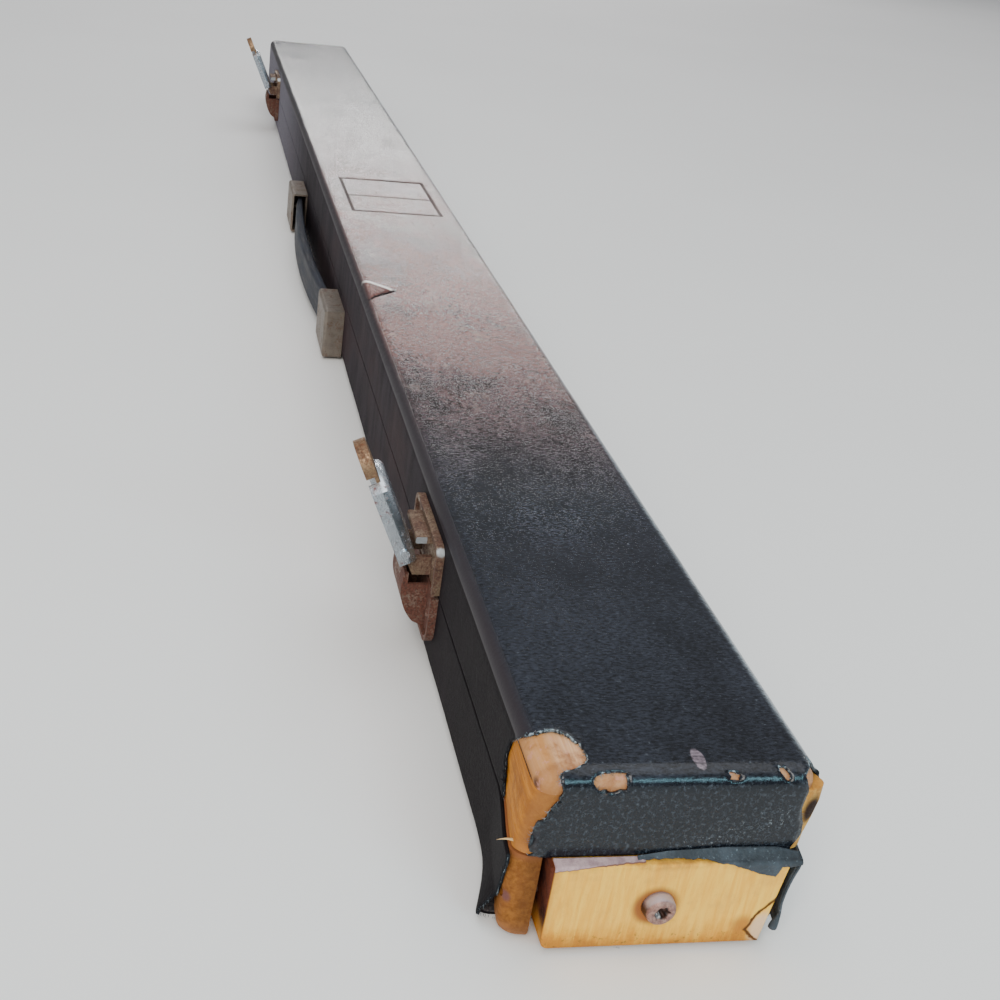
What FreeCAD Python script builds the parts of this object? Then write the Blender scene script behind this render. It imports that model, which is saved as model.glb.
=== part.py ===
import FreeCAD, Part
import math
import os

# A slim wooden case for a cue that comes apart into two halves, covered in leathercloth.
# Millimetres. X runs along the case towards its near end, -Y is the latch and handle side,
# +Z is up. The origin is the middle of the underside.

# ---- driving dimensions -------------------------------------------------------------------
LENGTH = 840.0
WIDTH = 57.0
HEIGHT = 42.5
SEAM_Z = 23.0
SEAM_GAP = 0.5

CLOTH = 0.8            # leathercloth
SIDE_BOARD = 4.2
FLAT_BOARD = 4.0       # top and bottom boards
END_BOARD = 10.0
EDGE_R = 4.0           # rounding of the covered outside edges
FELT = 0.8             # lining
TRAY_CLOTH_END = 412.0 # the tray's cloth is torn off beyond this
BARE_CORNER_X = 405.0  # the lid's cloth is torn off its near front corner
BARE_CORNER_Y = -22.0

# Near end board of the tray: its glue has failed and it stands out of the case.
END_PROUD = 2.4
END_LIFT = 1.8
END_LAP = 25.3         # how far it laps over the end of the back board
END_REBATE_X = 416.9
END_TAPER = 2.2        # the board is narrower at its foot

# Cue halves, laid head to tail
BUTT_R = 14.8
BUTT_Y = -8.2
TIP_R = 6.5
TIP_Y = 14.2
MID_R = 10.8
MID_Y = 11.4
CRADLE_X = 300.0
CRADLE_LENGTH = 18.0
CRADLE_TOP = 15.6
CRADLE_FOOT = 2.0      # wood left under each groove
PAD_THICKNESS = 7.0
STOP_BLOCK_LENGTH = 16.0

# End screw
SCREW_Y = -0.5
SCREW_Z = 12.8
SCREW_HEAD_R = 3.5
SCREW_HEAD_H = 2.4
SCREW_SHANK_R = 1.75
SCREW_LENGTH = 28.0

# Corner nails of the tray
NAIL_Z = 11.5
NAIL_X = 412.9
FRONT_NAIL_X = 415.6   # the near front nail, close to the board's open end
NAIL_HEAD_R = 1.35
NAIL_HEAD_H = 0.5
NAIL_SHANK_R = 0.8
NAIL_LENGTH = 13.0

# Lid hinges
HINGE_X = (-300.0, 0.0, 300.0)
HINGE_LENGTH = 24.0
HINGE_LEAF_T = 0.8
HINGE_LEAF_H = 8.5
HINGE_AXIS_OUT = 1.9   # axis beyond the back face
HINGE_LEAF_START = 1.5 # leaf edge above or below the seam
KNUCKLE_R = 1.5
HINGE_PIN_R = 0.7
HINGE_GAP = 0.3        # along the axis, between knuckles
KNUCKLES = 5

# Latches: a hollow hasp hinged on the lid swings down over a keeper box on the tray
LATCH_X = 311.6
PLATE_HALF = 16.4
PLATE_T = 1.0
RIM_W = 1.3
RIM_H = 1.0
TRAY_PLATE_Z = (8.0, 22.4)
LID_PLATE_Z = (23.6, 36.8)
BOX_HALF = 7.3
BOX_WALL = 1.0
BOX_FRONT = 7.4        # keeper's front wall, from the front of the case
BOX_SIDE_TOP = 21.4
BOX_LIP_TOP = 24.6     # the front wall stands above the seam
LATCH_PIN_OUT = 8.4    # pin axis from the front of the case
LATCH_PIN_Z = 31.3
LATCH_PIN_R = 0.8
EAR_OUTER = 7.1
EAR_T = 1.2
EAR_R = 1.6
ROOF_OUT = 5.7
ROOF_Z = (33.4, 35.2)
HASP_OPEN_DEG = 24.5   # lean of the open hasp from upright
HASP_FACE = (-0.3, 0.6)   # hasp sheet, measured from the pin axis towards the cover
HASP_RIM = -2.4        # inner rim of the cover and of the tongue
HASP_HALF = 8.0
HASP_START = 2.8
HASP_BARREL_R = 1.4
TONGUE_HALF = 6.0
TONGUE_END = 29.4
TONGUE_WALL = 0.8
COVER_HALF = 9.2
COVER_HEEL = -3.0
COVER_TIP = 21.2
COVER_CROWN = 2.5
COVER_SHEET = 0.6
CROWN_START = -1.2     # the crown stops here so that the ears can pass under it

# Handle: a strap held by two box caps
HANDLE_X = 10.0
CAP_OUTER = 102.0      # half length over the caps
CAP_LENGTH = 28.0
CAP_Z = (0.8, 20.3)
CAP_DEPTH = 7.8
CAP_WALL = 0.9
CAP_PLATE_T = 0.8
CAP_RIVET_Z = (6.4, 17.0)
GRIP_Z = (3.2, 18.0)
GRIP_T = 5.0
GRIP_END_T = 3.0
GRIP_IN_CAP = 6.0
GRIP_BOW = 3.2
CORE_T = 0.8
CORE_Z = (5.5, 15.7)
STUD_R = 1.8
STUD_SLOT_R = 2.2

RIVET_SHANK_R = 0.9
RIVET_CLEAR = 0.05

# ---- derived places -----------------------------------------------------------------------
HALF_L = LENGTH / 2
HALF_W = WIDTH / 2
FRONT = -HALF_W
WOOD_L = HALF_L - CLOTH
WOOD_W = HALF_W - CLOTH
CAVITY_L = WOOD_L - END_BOARD
CAVITY_W = WOOD_W - SIDE_BOARD
FLOOR_Z = CLOTH + FLAT_BOARD
CEILING_Z = HEIGHT - CLOTH - FLAT_BOARD
TRAY_RIM_Z = SEAM_Z - SEAM_GAP / 2
LID_RIM_Z = SEAM_Z + SEAM_GAP / 2
INNER_W = CAVITY_W - FELT
END_FACE_X = HALF_L + END_PROUD
END_BACK_X = END_FACE_X - END_BOARD
HINGE_Y = HALF_W + HINGE_AXIS_OUT
LATCH_PIN_Y = FRONT - LATCH_PIN_OUT

V = FreeCAD.Vector
ALONG = V(1, 0, 0)
OUT_FRONT = V(0, -1, 0)
OUT_BACK = V(0, 1, 0)


# ---- small helpers ------------------------------------------------------------------------
def box(x0, x1, y0, y1, z0, z1):
    return Part.makeBox(x1 - x0, y1 - y0, z1 - z0, V(x0, y0, z0))


def rod(radius, start, direction, length):
    return Part.makeCylinder(radius, length, start, direction)


def rounded_block(inset, radius):
    """The whole case, shrunk by inset on every side, with every edge rounded."""
    block = box(-HALF_L + inset, HALF_L - inset, -HALF_W + inset, HALF_W - inset,
                inset, HEIGHT - inset)
    return block.makeFillet(radius, block.Edges)


def prism_x(points_yz, x0, x1):
    """Straight-sided outline in the YZ plane, extruded along X."""
    wire = Part.makePolygon([V(x0, y, z) for y, z in points_yz + points_yz[:1]])
    return Part.Face(wire).extrude(V(x1 - x0, 0, 0))


def plate_outline(x0, x1, z0, z1, y, top_r, foot_r):
    """Rectangle in the XZ plane with rounded top corners and rounded foot corners."""
    edges = []
    k = math.sqrt(0.5)

    def line(a, b):
        if a.distanceToPoint(b) > 1e-6:
            edges.append(Part.LineSegment(a, b).toShape())

    def corner(cx, cz, r, sx, sz, first):
        if r <= 0:
            return
        flat = V(cx, y, cz + sz * r)
        side = V(cx + sx * r, y, cz)
        mid = V(cx + sx * r * k, y, cz + sz * r * k)
        ends = (flat, side) if first == "flat" else (side, flat)
        edges.append(Part.Arc(ends[0], mid, ends[1]).toShape())

    line(V(x0 + foot_r, y, z0), V(x1 - foot_r, y, z0))
    corner(x1 - foot_r, z0 + foot_r, foot_r, 1, -1, "flat")
    line(V(x1, y, z0 + foot_r), V(x1, y, z1 - top_r))
    corner(x1 - top_r, z1 - top_r, top_r, 1, 1, "side")
    line(V(x1 - top_r, y, z1), V(x0 + top_r, y, z1))
    corner(x0 + top_r, z1 - top_r, top_r, -1, 1, "flat")
    line(V(x0, y, z1 - top_r), V(x0, y, z0 + foot_r))
    corner(x0 + foot_r, z0 + foot_r, foot_r, -1, -1, "side")
    return Part.Wire(edges)


def plate(x0, x1, z0, z1, y, depth, top_r, foot_r):
    outline = plate_outline(x0, x1, z0, z1, y, top_r, foot_r)
    return Part.Face(outline).extrude(V(0, depth, 0))


def drilled(shape, holes):
    for hole in holes:
        shape = shape.cut(hole)
    return shape


def save(name, solids):
    """One STEP per node; identical pieces share a node as separate solids."""
    solids = solids if isinstance(solids, list) else [solids]
    shape = solids[0] if len(solids) == 1 else Part.makeCompound(solids)
    shape.exportStep("parts/%s.step" % name)
    print("%-26s solids %d  volume %.0f" % (name, len(shape.Solids), shape.Volume))


# ---- fasteners ----------------------------------------------------------------------------
def rivet(x, z, face_y, out, length, head_r=1.7, head_h=0.9):
    """Round-head rivet whose head sits on face_y and points along out."""
    base = V(x, face_y, z)
    inward = V(0, -out.y, 0)
    shank = rod(RIVET_SHANK_R, base, inward, length)
    ball_r = (head_r ** 2 + head_h ** 2) / (2 * head_h)
    ball = Part.makeSphere(ball_r, base + out * (head_h - ball_r))
    head = ball.common(rod(head_r, base, out, head_h))
    return head.fuse(shank).removeSplitter()


def rivet_hole(x, z, face_y, out, length):
    inward = V(0, -out.y, 0)
    return rod(RIVET_SHANK_R + RIVET_CLEAR, V(x, face_y, z), inward, length)


def latch_rivet_places(z):
    return [(centre + side * 11.6, z) for centre in (LATCH_X, -LATCH_X) for side in (-1, 1)]


def hinge_rivet_places(z):
    return [(centre + side * 8.0, z) for centre in HINGE_X for side in (-1, 1)]


def cap_centres():
    middle = CAP_OUTER - CAP_LENGTH / 2
    return {"near": HANDLE_X + middle, "far": HANDLE_X - middle}


def cap_rivet_places():
    return [(centre, z) for centre in cap_centres().values() for z in CAP_RIVET_Z]


LATCH_FACE = FRONT - PLATE_T
HINGE_FACE = HALF_W + HINGE_LEAF_T
CAP_FACE = FRONT - CAP_PLATE_T
THROUGH = CLOTH + SIDE_BOARD - 0.4          # rivets stop just short of the lining


def rivets(places, face_y, out, plate_t, head_r=1.7, head_h=0.9):
    return [rivet(x, z, face_y, out, plate_t + THROUGH, head_r, head_h) for x, z in places]


def rivet_holes(places, face_y, out, plate_t):
    return [rivet_hole(x, z, face_y, out, plate_t + THROUGH) for x, z in places]


TRAY_LATCH_RIVETS = latch_rivet_places(15.6)
LID_LATCH_RIVETS = latch_rivet_places(30.2)
TRAY_HINGE_RIVETS = hinge_rivet_places(17.6)
LID_HINGE_RIVETS = hinge_rivet_places(28.4)

TRAY_FRONT_HOLES = (rivet_holes(TRAY_LATCH_RIVETS, LATCH_FACE, OUT_FRONT, PLATE_T)
                    + rivet_holes(cap_rivet_places(), CAP_FACE, OUT_FRONT, CAP_PLATE_T))
TRAY_BACK_HOLES = rivet_holes(TRAY_HINGE_RIVETS, HINGE_FACE, OUT_BACK, HINGE_LEAF_T)
LID_FRONT_HOLES = rivet_holes(LID_LATCH_RIVETS, LATCH_FACE, OUT_FRONT, PLATE_T)
LID_BACK_HOLES = rivet_holes(LID_HINGE_RIVETS, HINGE_FACE, OUT_BACK, HINGE_LEAF_T)


def nail_places():
    return [(FRONT_NAIL_X, -1), (NAIL_X, 1), (-NAIL_X, -1), (-NAIL_X, 1)]


def nail(x, side, clear=0.0):
    """Nail driven through a side board into the end of an end board."""
    face = V(x, side * WOOD_W, NAIL_Z)
    inward = V(0, -side, 0)
    head = rod(NAIL_HEAD_R + clear, face, inward, NAIL_HEAD_H)
    shank = rod(NAIL_SHANK_R + clear, face, inward, NAIL_LENGTH)
    return head.fuse(shank).removeSplitter()


def end_screw(clear=0.0):
    base = V(END_FACE_X, SCREW_Y, SCREW_Z)
    shank = rod(SCREW_SHANK_R + clear, base, V(-1, 0, 0), SCREW_LENGTH - 3.0)
    point = Part.makeCone(SCREW_SHANK_R + clear, 0.3 + clear, 3.0,
                          base - ALONG * (SCREW_LENGTH - 3.0), V(-1, 0, 0))
    return shank.fuse(point)


def end_screw_with_head():
    base = V(END_FACE_X, SCREW_Y, SCREW_Z)
    head = rod(SCREW_HEAD_R, base, ALONG, SCREW_HEAD_H)
    rim = [e for e in head.Edges if abs(e.BoundBox.XMin - base.x - SCREW_HEAD_H) < 1e-6
           and e.Length > SCREW_HEAD_R]
    head = head.makeFillet(0.9, rim)
    slot_half = 2.0
    slot_t = 0.55
    slot_depth = 1.6
    top = base.x + SCREW_HEAD_H
    for dy, dz in ((slot_half, slot_t), (slot_t, slot_half)):
        head = head.cut(box(top - slot_depth, top + 1, SCREW_Y - dy, SCREW_Y + dy,
                            SCREW_Z - dz, SCREW_Z + dz))
    return head.fuse(end_screw()).removeSplitter()


NAIL_HOLES = [nail(x, side, 0.03) for x, side in nail_places()]
SCREW_HOLE = end_screw(0.05)


# ---- tray boards --------------------------------------------------------------------------
def make_tray(wood):
    """The front board runs the full length; the back board stops at the end board's lap."""
    tray = wood.common(box(-HALF_L, HALF_L, -HALF_W, HALF_W, 0, TRAY_RIM_Z))
    bottom_end_x = END_BACK_X - 0.2
    bottom = tray.common(box(-HALF_L, bottom_end_x, -HALF_W, HALF_W, 0, FLOOR_Z))
    front = tray.common(box(-HALF_L, HALF_L, -HALF_W, -CAVITY_W, FLOOR_Z, TRAY_RIM_Z))
    foot_strip = tray.common(box(bottom_end_x + 0.1, HALF_L, -HALF_W, -CAVITY_W,
                                 0, FLOOR_Z))
    front = front.fuse(foot_strip).removeSplitter()
    back = tray.common(box(-HALF_L, END_REBATE_X - 0.2, CAVITY_W, HALF_W,
                           FLOOR_Z, TRAY_RIM_Z))
    far_end = tray.common(box(-HALF_L, -CAVITY_L, -CAVITY_W, CAVITY_W,
                              FLOOR_Z, TRAY_RIM_Z))
    save("tray_bottom_board", bottom)
    save("tray_front_board", drilled(front, TRAY_FRONT_HOLES + NAIL_HOLES))
    save("tray_back_board", drilled(back, TRAY_BACK_HOLES + NAIL_HOLES))
    save("tray_far_end_board", drilled(far_end, NAIL_HOLES))
    save("tray_near_end_board", make_near_end_board())


def make_near_end_board():
    """Loose end board: stands proud, narrower at its foot, lapping the back board's end."""
    left = CAVITY_W - 0.1
    foot = END_LIFT
    tongue = prism_x([(-left + END_TAPER / 2, foot), (left - END_TAPER / 2, foot),
                      (left, TRAY_RIM_Z), (-left, TRAY_RIM_Z)], END_BACK_X, END_FACE_X)
    lap = prism_x([(0, foot), (END_LAP - END_TAPER, foot), (END_LAP, TRAY_RIM_Z),
                   (0, TRAY_RIM_Z)], END_REBATE_X, END_FACE_X)
    board = tongue.fuse(lap).removeSplitter()
    side = [e for e in board.Edges if e.BoundBox.XMin > END_BACK_X - 0.01
            and e.BoundBox.ZMax < foot + 0.01 and e.BoundBox.YMax < -10
            and e.BoundBox.XLength > 5]
    board = board.makeFillet(1.6, side)
    face_rim = [e for e in board.Edges if e.BoundBox.XMin > END_FACE_X - 0.01]
    board = board.makeFillet(0.5, face_rim)
    return drilled(board, NAIL_HOLES + [SCREW_HOLE])


# ---- lid boards ---------------------------------------------------------------------------
def make_lid(wood):
    lid = wood.common(box(-HALF_L, HALF_L, -HALF_W, HALF_W, LID_RIM_Z, HEIGHT))
    top = lid.common(box(-HALF_L, HALF_L, -HALF_W, HALF_W, CEILING_Z, HEIGHT))
    front = lid.common(box(-HALF_L, HALF_L, -HALF_W, -CAVITY_W, LID_RIM_Z, CEILING_Z))
    back = lid.common(box(-HALF_L, HALF_L, CAVITY_W, HALF_W, LID_RIM_Z, CEILING_Z))
    near = lid.common(box(CAVITY_L, HALF_L, -CAVITY_W, CAVITY_W, LID_RIM_Z, CEILING_Z))
    far = lid.common(box(-HALF_L, -CAVITY_L, -CAVITY_W, CAVITY_W, LID_RIM_Z, CEILING_Z))
    save("lid_top_board", top)
    save("lid_front_board", drilled(front, LID_FRONT_HOLES))
    save("lid_back_board", drilled(back, LID_BACK_HOLES))
    save("lid_near_end_board", near)
    save("lid_far_end_board", far)


# ---- leathercloth -------------------------------------------------------------------------
def make_coverings(outside, wood):
    skin = outside.cut(wood)
    tray = skin.common(box(-HALF_L, TRAY_CLOTH_END, -HALF_W, HALF_W, 0, TRAY_RIM_Z))
    save("tray_covering", drilled(tray, TRAY_FRONT_HOLES + TRAY_BACK_HOLES))
    lid = skin.common(box(-HALF_L, HALF_L, -HALF_W, HALF_W, LID_RIM_Z, HEIGHT))
    bare_corner = box(BARE_CORNER_X, HALF_L, -HALF_W, BARE_CORNER_Y, LID_RIM_Z, HEIGHT)
    lid = lid.cut(bare_corner)
    save("lid_covering", drilled(lid, LID_FRONT_HOLES + LID_BACK_HOLES))


# ---- lining, cradles, pad -----------------------------------------------------------------
def make_lining():
    drop = 1.0                                # the felt stops short of the rims
    full = box(-CAVITY_L, CAVITY_L, -CAVITY_W, CAVITY_W, FLOOR_Z, CEILING_Z)
    hollow = box(-CAVITY_L + FELT, CAVITY_L - FELT, -INNER_W, INNER_W,
                 FLOOR_Z + FELT, CEILING_Z - FELT)
    felt = full.cut(hollow)
    tray_side = box(-HALF_L, HALF_L, -HALF_W, HALF_W, 0, TRAY_RIM_Z - drop)
    lid_side = box(-HALF_L, HALF_L, -HALF_W, HALF_W, LID_RIM_Z + drop, HEIGHT)
    save("tray_lining", felt.common(tray_side).cut(SCREW_HOLE))
    save("lid_lining", felt.common(lid_side))


def cradle(x, grooves):
    """Felt-covered rest with one groove for each half of the cue."""
    foot = FLOOR_Z + FELT
    block = box(x - CRADLE_LENGTH / 2, x + CRADLE_LENGTH / 2, -INNER_W + 0.1, INNER_W - 0.1,
                foot, CRADLE_TOP)
    for y, radius in grooves:
        axis = V(x - CRADLE_LENGTH, y, foot + CRADLE_FOOT + radius)
        block = block.cut(rod(radius, axis, ALONG, 2 * CRADLE_LENGTH))
    return block


def make_fittings():
    save("cue_cradle_near", cradle(CRADLE_X, [(BUTT_Y, BUTT_R), (TIP_Y, TIP_R)]))
    save("cue_cradle_middle", cradle(0.0, [(-MID_Y, MID_R), (MID_Y, MID_R)]))
    save("cue_cradle_far", cradle(-CRADLE_X, [(-BUTT_Y, BUTT_R), (-TIP_Y, TIP_R)]))
    ceiling = CEILING_Z - FELT
    pad = box(-CRADLE_LENGTH / 2, CRADLE_LENGTH / 2, -20.0, 20.0,
              ceiling - PAD_THICKNESS, ceiling)
    lower = [e for e in pad.Edges if e.BoundBox.ZMax < ceiling - PAD_THICKNESS + 0.01]
    save("lid_pad", pad.makeFillet(2.0, lower))
    block_end = CAVITY_L - FELT
    stop = box(block_end - STOP_BLOCK_LENGTH, block_end, -INNER_W + 0.2, INNER_W - 0.2,
               FLOOR_Z + FELT, SEAM_Z - 2.0)
    save("butt_stop_block", stop.cut(SCREW_HOLE))


# ---- hinges -------------------------------------------------------------------------------
def knuckle_spans(centre, parity):
    pitch = HINGE_LENGTH / KNUCKLES
    start = centre - HINGE_LENGTH / 2
    spans = []
    for i in range(KNUCKLES):
        if i % 2 == parity:
            spans.append((start + i * pitch + HINGE_GAP / 2,
                          start + (i + 1) * pitch - HINGE_GAP / 2))
    return spans


def hinge_leaf(centre, upper, holes):
    """Leaf on the back face with its knuckles rolled round the pin."""
    low = SEAM_Z + HINGE_LEAF_START if upper else SEAM_Z - HINGE_LEAF_START - HINGE_LEAF_H
    x0 = centre - HINGE_LENGTH / 2
    x1 = centre + HINGE_LENGTH / 2
    leaf = plate(x0, x1, low, low + HINGE_LEAF_H, HALF_W, HINGE_LEAF_T,
                 1.5 if upper else 0.0, 0.0 if upper else 1.5)
    for a, b in knuckle_spans(centre, 1 if upper else 0):
        z0, z1 = (SEAM_Z, low + 1) if upper else (low + HINGE_LEAF_H - 1, SEAM_Z)
        leaf = leaf.fuse(box(a, b, HALF_W + 0.05, HALF_W + HINGE_LEAF_T, z0, z1))
        leaf = leaf.fuse(rod(KNUCKLE_R, V(a, HINGE_Y, SEAM_Z), ALONG, b - a))
    leaf = leaf.cut(rod(HINGE_PIN_R + 0.05, V(x0 - 1, HINGE_Y, SEAM_Z), ALONG,
                        HINGE_LENGTH + 2))
    return drilled(leaf, holes).removeSplitter()


def hinge_pin(centre):
    return rod(HINGE_PIN_R, V(centre - HINGE_LENGTH / 2, HINGE_Y, SEAM_Z), ALONG,
               HINGE_LENGTH)


def make_hinges():
    save("hinge_tray_leaves", [hinge_leaf(x, False, TRAY_BACK_HOLES) for x in HINGE_X])
    save("hinge_lid_leaves", [hinge_leaf(x, True, LID_BACK_HOLES) for x in HINGE_X])
    save("hinge_pins", [hinge_pin(x) for x in HINGE_X])
    save("hinge_tray_rivets", rivets(TRAY_HINGE_RIVETS, HINGE_FACE, OUT_BACK, HINGE_LEAF_T,
                                     1.6, 0.7))
    save("hinge_lid_rivets", rivets(LID_HINGE_RIVETS, HINGE_FACE, OUT_BACK, HINGE_LEAF_T,
                                    1.6, 0.7))


# ---- latches ------------------------------------------------------------------------------
def rimmed_plate(centre, z0, z1, top_r, foot_r, open_top):
    """Back plate with a raised rim on every side but the one at the seam."""
    x0 = centre - PLATE_HALF
    x1 = centre + PLATE_HALF
    thick = plate(x0, x1, z0, z1, FRONT, -(PLATE_T + RIM_H), top_r, foot_r)
    in_z0 = z0 + RIM_W if open_top else z0 - 1
    in_z1 = z1 + 1 if open_top else z1 - RIM_W
    pocket = plate(x0 + RIM_W, x1 - RIM_W, in_z0, in_z1, LATCH_FACE, -2 * RIM_H,
                   max(top_r - RIM_W, 0.0), max(foot_r - RIM_W, 0.0))
    return thick.cut(pocket)


def tray_bracket(centre):
    """Back plate with the keeper: a box whose front wall bulges and whose heel runs in."""
    z0, z1 = TRAY_PLATE_Z
    bracket = rimmed_plate(centre, z0, z1, 0.0, 5.0, True)
    back = LATCH_FACE + 0.2
    front = FRONT - BOX_FRONT
    profile = [V(centre, back, BOX_LIP_TOP), V(centre, front, BOX_LIP_TOP),
               V(centre, front - 0.3, 17.5), V(centre, front + 3.2, z0 + 2.4),
               V(centre, back, z0 + 0.6)]
    wire = Part.Wire([Part.LineSegment(profile[0], profile[1]).toShape(),
                      Part.Arc(profile[1], profile[2], profile[3]).toShape(),
                      Part.LineSegment(profile[3], profile[4]).toShape(),
                      Part.LineSegment(profile[4], profile[0]).toShape()])
    solid = Part.Face(wire).extrude(V(BOX_HALF, 0, 0))
    solid = solid.fuse(Part.Face(wire).extrude(V(-BOX_HALF, 0, 0))).removeSplitter()
    inner = solid.copy()
    inner.translate(V(0, BOX_WALL, BOX_WALL))
    inner = inner.common(box(centre - BOX_HALF + BOX_WALL, centre + BOX_HALF - BOX_WALL,
                             front - 2, LATCH_FACE, z0, BOX_LIP_TOP + 2))
    walls = solid.cut(inner).cut(box(centre - BOX_HALF - 1, centre + BOX_HALF + 1,
                                     front + BOX_WALL, back + 1, BOX_SIDE_TOP, HEIGHT))
    holes = rivet_holes(TRAY_LATCH_RIVETS, LATCH_FACE - RIM_H, OUT_FRONT, PLATE_T + RIM_H)
    return drilled(bracket.fuse(walls), holes).removeSplitter()


def lid_bracket(centre):
    """Back plate with a roof, and two ears that carry the pin."""
    z0, z1 = LID_PLATE_Z
    bracket = rimmed_plate(centre, z0, z1, 3.0, 0.0, False)
    back = LATCH_FACE + 0.2
    foot = z0 + 0.6
    pin_y, pin_z = LATCH_PIN_Y, LATCH_PIN_Z
    outline = [(back, foot), (FRONT - 5.6, foot), (FRONT - 7.3, pin_z - 3.2),
               (pin_y - 1.0, pin_z - 1.0), (pin_y + 0.9, pin_z + 1.2),
               (FRONT - 5.4, pin_z - 1.8), (back, pin_z - 1.8)]
    for side in (-1, 1):
        x = centre + side * (EAR_OUTER - EAR_T / 2)
        ear = prism_x(outline, x - EAR_T / 2, x + EAR_T / 2)
        boss = rod(EAR_R, V(x - EAR_T / 2, pin_y, pin_z), ALONG, EAR_T)
        bracket = bracket.fuse(ear).fuse(boss)
    roof = box(centre - BOX_HALF, centre + BOX_HALF, FRONT - ROOF_OUT, back, *ROOF_Z)
    lip = [e for e in roof.Edges if e.BoundBox.YMax < FRONT - ROOF_OUT + 0.01
           and e.BoundBox.XLength > BOX_HALF]
    bracket = bracket.fuse(roof.makeFillet(0.5, lip))
    bore = rod(LATCH_PIN_R + 0.02, V(centre - 15, pin_y, pin_z), ALONG, 30)
    holes = rivet_holes(LID_LATCH_RIVETS, LATCH_FACE - RIM_H, OUT_FRONT, PLATE_T + RIM_H)
    return drilled(bracket, holes + [bore]).removeSplitter()


def latch_pin(centre):
    """Pin through the ears and the cover's sides, with flat heads outside the cover."""
    half = COVER_HALF + 0.1
    pin = rod(LATCH_PIN_R, V(centre - half, LATCH_PIN_Y, LATCH_PIN_Z), ALONG, 2 * half)
    for x in (centre - half - 0.5, centre + half):
        pin = pin.fuse(rod(1.2, V(x, LATCH_PIN_Y, LATCH_PIN_Z), ALONG, 0.5))
    return pin.removeSplitter()


def opened(shape, centre):
    """Place a hasp piece, made upright about its pin at the origin, in its open position."""
    shape.rotate(V(0, 0, 0), ALONG, HASP_OPEN_DEG)
    shape.translate(V(centre, LATCH_PIN_Y, LATCH_PIN_Z))
    return shape


def tip_outline(half, heel, tip, bow, y):
    """Flat heel, straight sides and a bowed tip, in the plane of the hasp."""
    heel_a = V(-half, y, heel)
    heel_b = V(half, y, heel)
    shoulder_b = V(half, y, tip - bow)
    shoulder_a = V(-half, y, tip - bow)
    return Part.Wire([Part.LineSegment(heel_a, heel_b).toShape(),
                      Part.LineSegment(heel_b, shoulder_b).toShape(),
                      Part.Arc(shoulder_b, V(0, y, tip), shoulder_a).toShape(),
                      Part.LineSegment(shoulder_a, heel_a).toShape()])


def tip_block(half, heel, tip, bow, y0, y1):
    return Part.Face(tip_outline(half, heel, tip, bow, y0)).extrude(V(0, y1 - y0, 0))


def hasp(centre):
    """Steel hasp, drawn upright: a sheet under the cover, ending in a hollow finger tongue."""
    low, high = HASP_FACE
    sheet = tip_block(HASP_HALF, HASP_START, COVER_TIP - 1.0, 3.0, low, high)
    tongue = tip_block(TONGUE_HALF, COVER_TIP - 5, TONGUE_END, TONGUE_HALF - 0.5,
                       HASP_RIM, high)
    hollow = tip_block(TONGUE_HALF - TONGUE_WALL, COVER_TIP - 6, TONGUE_END - TONGUE_WALL,
                       TONGUE_HALF - 0.5, HASP_RIM - 1, low)
    inside_cover = box(-20, 20, HASP_RIM - 1, low, -5, COVER_TIP + 0.4)
    body = sheet.fuse(tongue.cut(hollow).cut(inside_cover))
    barrel_spans = ((-5.6, -2.8), (2.8, 5.6))
    for a, b in barrel_spans:
        body = body.fuse(rod(HASP_BARREL_R, V(a, 0, 0), ALONG, b - a))
        body = body.fuse(box(a, b, low, high, 0, HASP_START + 0.5))
    body = body.cut(rod(LATCH_PIN_R + 0.05, V(-10, 0, 0), ALONG, 20))
    return opened(body.removeSplitter(), centre)


def cover_block(shrink, crown_r):
    block = tip_block(COVER_HALF - shrink, COVER_HEEL - 2 * shrink, COVER_TIP - shrink, 2.6,
                      HASP_RIM - 2 * shrink, COVER_CROWN - shrink)
    crown = COVER_CROWN - shrink
    rim = [e for e in block.Edges if e.BoundBox.YMin > crown - 0.01
           and e.BoundBox.ZMax > COVER_HEEL + 1]
    return block.makeFillet(crown_r, rim)


def hasp_cover(centre):
    """Domed nickel-plated cap over the hasp, open on its inner side and at its heel."""
    shell = cover_block(0.0, 2.2).cut(cover_block(COVER_SHEET, 1.6))
    ear_pass = box(-EAR_OUTER - 0.8, EAR_OUTER + 0.8, 0.5, COVER_CROWN + 1,
                   COVER_HEEL - 1, CROWN_START)
    tongue_pass = box(-TONGUE_HALF - 0.2, TONGUE_HALF + 0.2, HASP_RIM - 1, HASP_FACE[1] + 0.15,
                      COVER_TIP - 6, COVER_TIP + 2)
    pin_hole = rod(LATCH_PIN_R + 0.1, V(-12, 0, 0), ALONG, 24)
    return opened(drilled(shell, [ear_pass, tongue_pass, pin_hole]), centre)


def latch_spring(centre):
    """Torsion spring between the two barrels of the hasp."""
    wire_r = 0.22
    coil_r = 1.1
    length = 4.4
    helix = Part.makeHelix(length / 6, length, coil_r)
    profile = Part.Wire([Part.makeCircle(wire_r, V(coil_r, 0, 0), V(0, 1, 0))])
    coil = Part.Wire(helix.Edges).makePipeShell([profile], True, True)
    coil.rotate(V(0, 0, 0), V(0, 1, 0), 90)
    coil.translate(V(centre - length / 2, LATCH_PIN_Y, LATCH_PIN_Z))
    return coil


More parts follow.
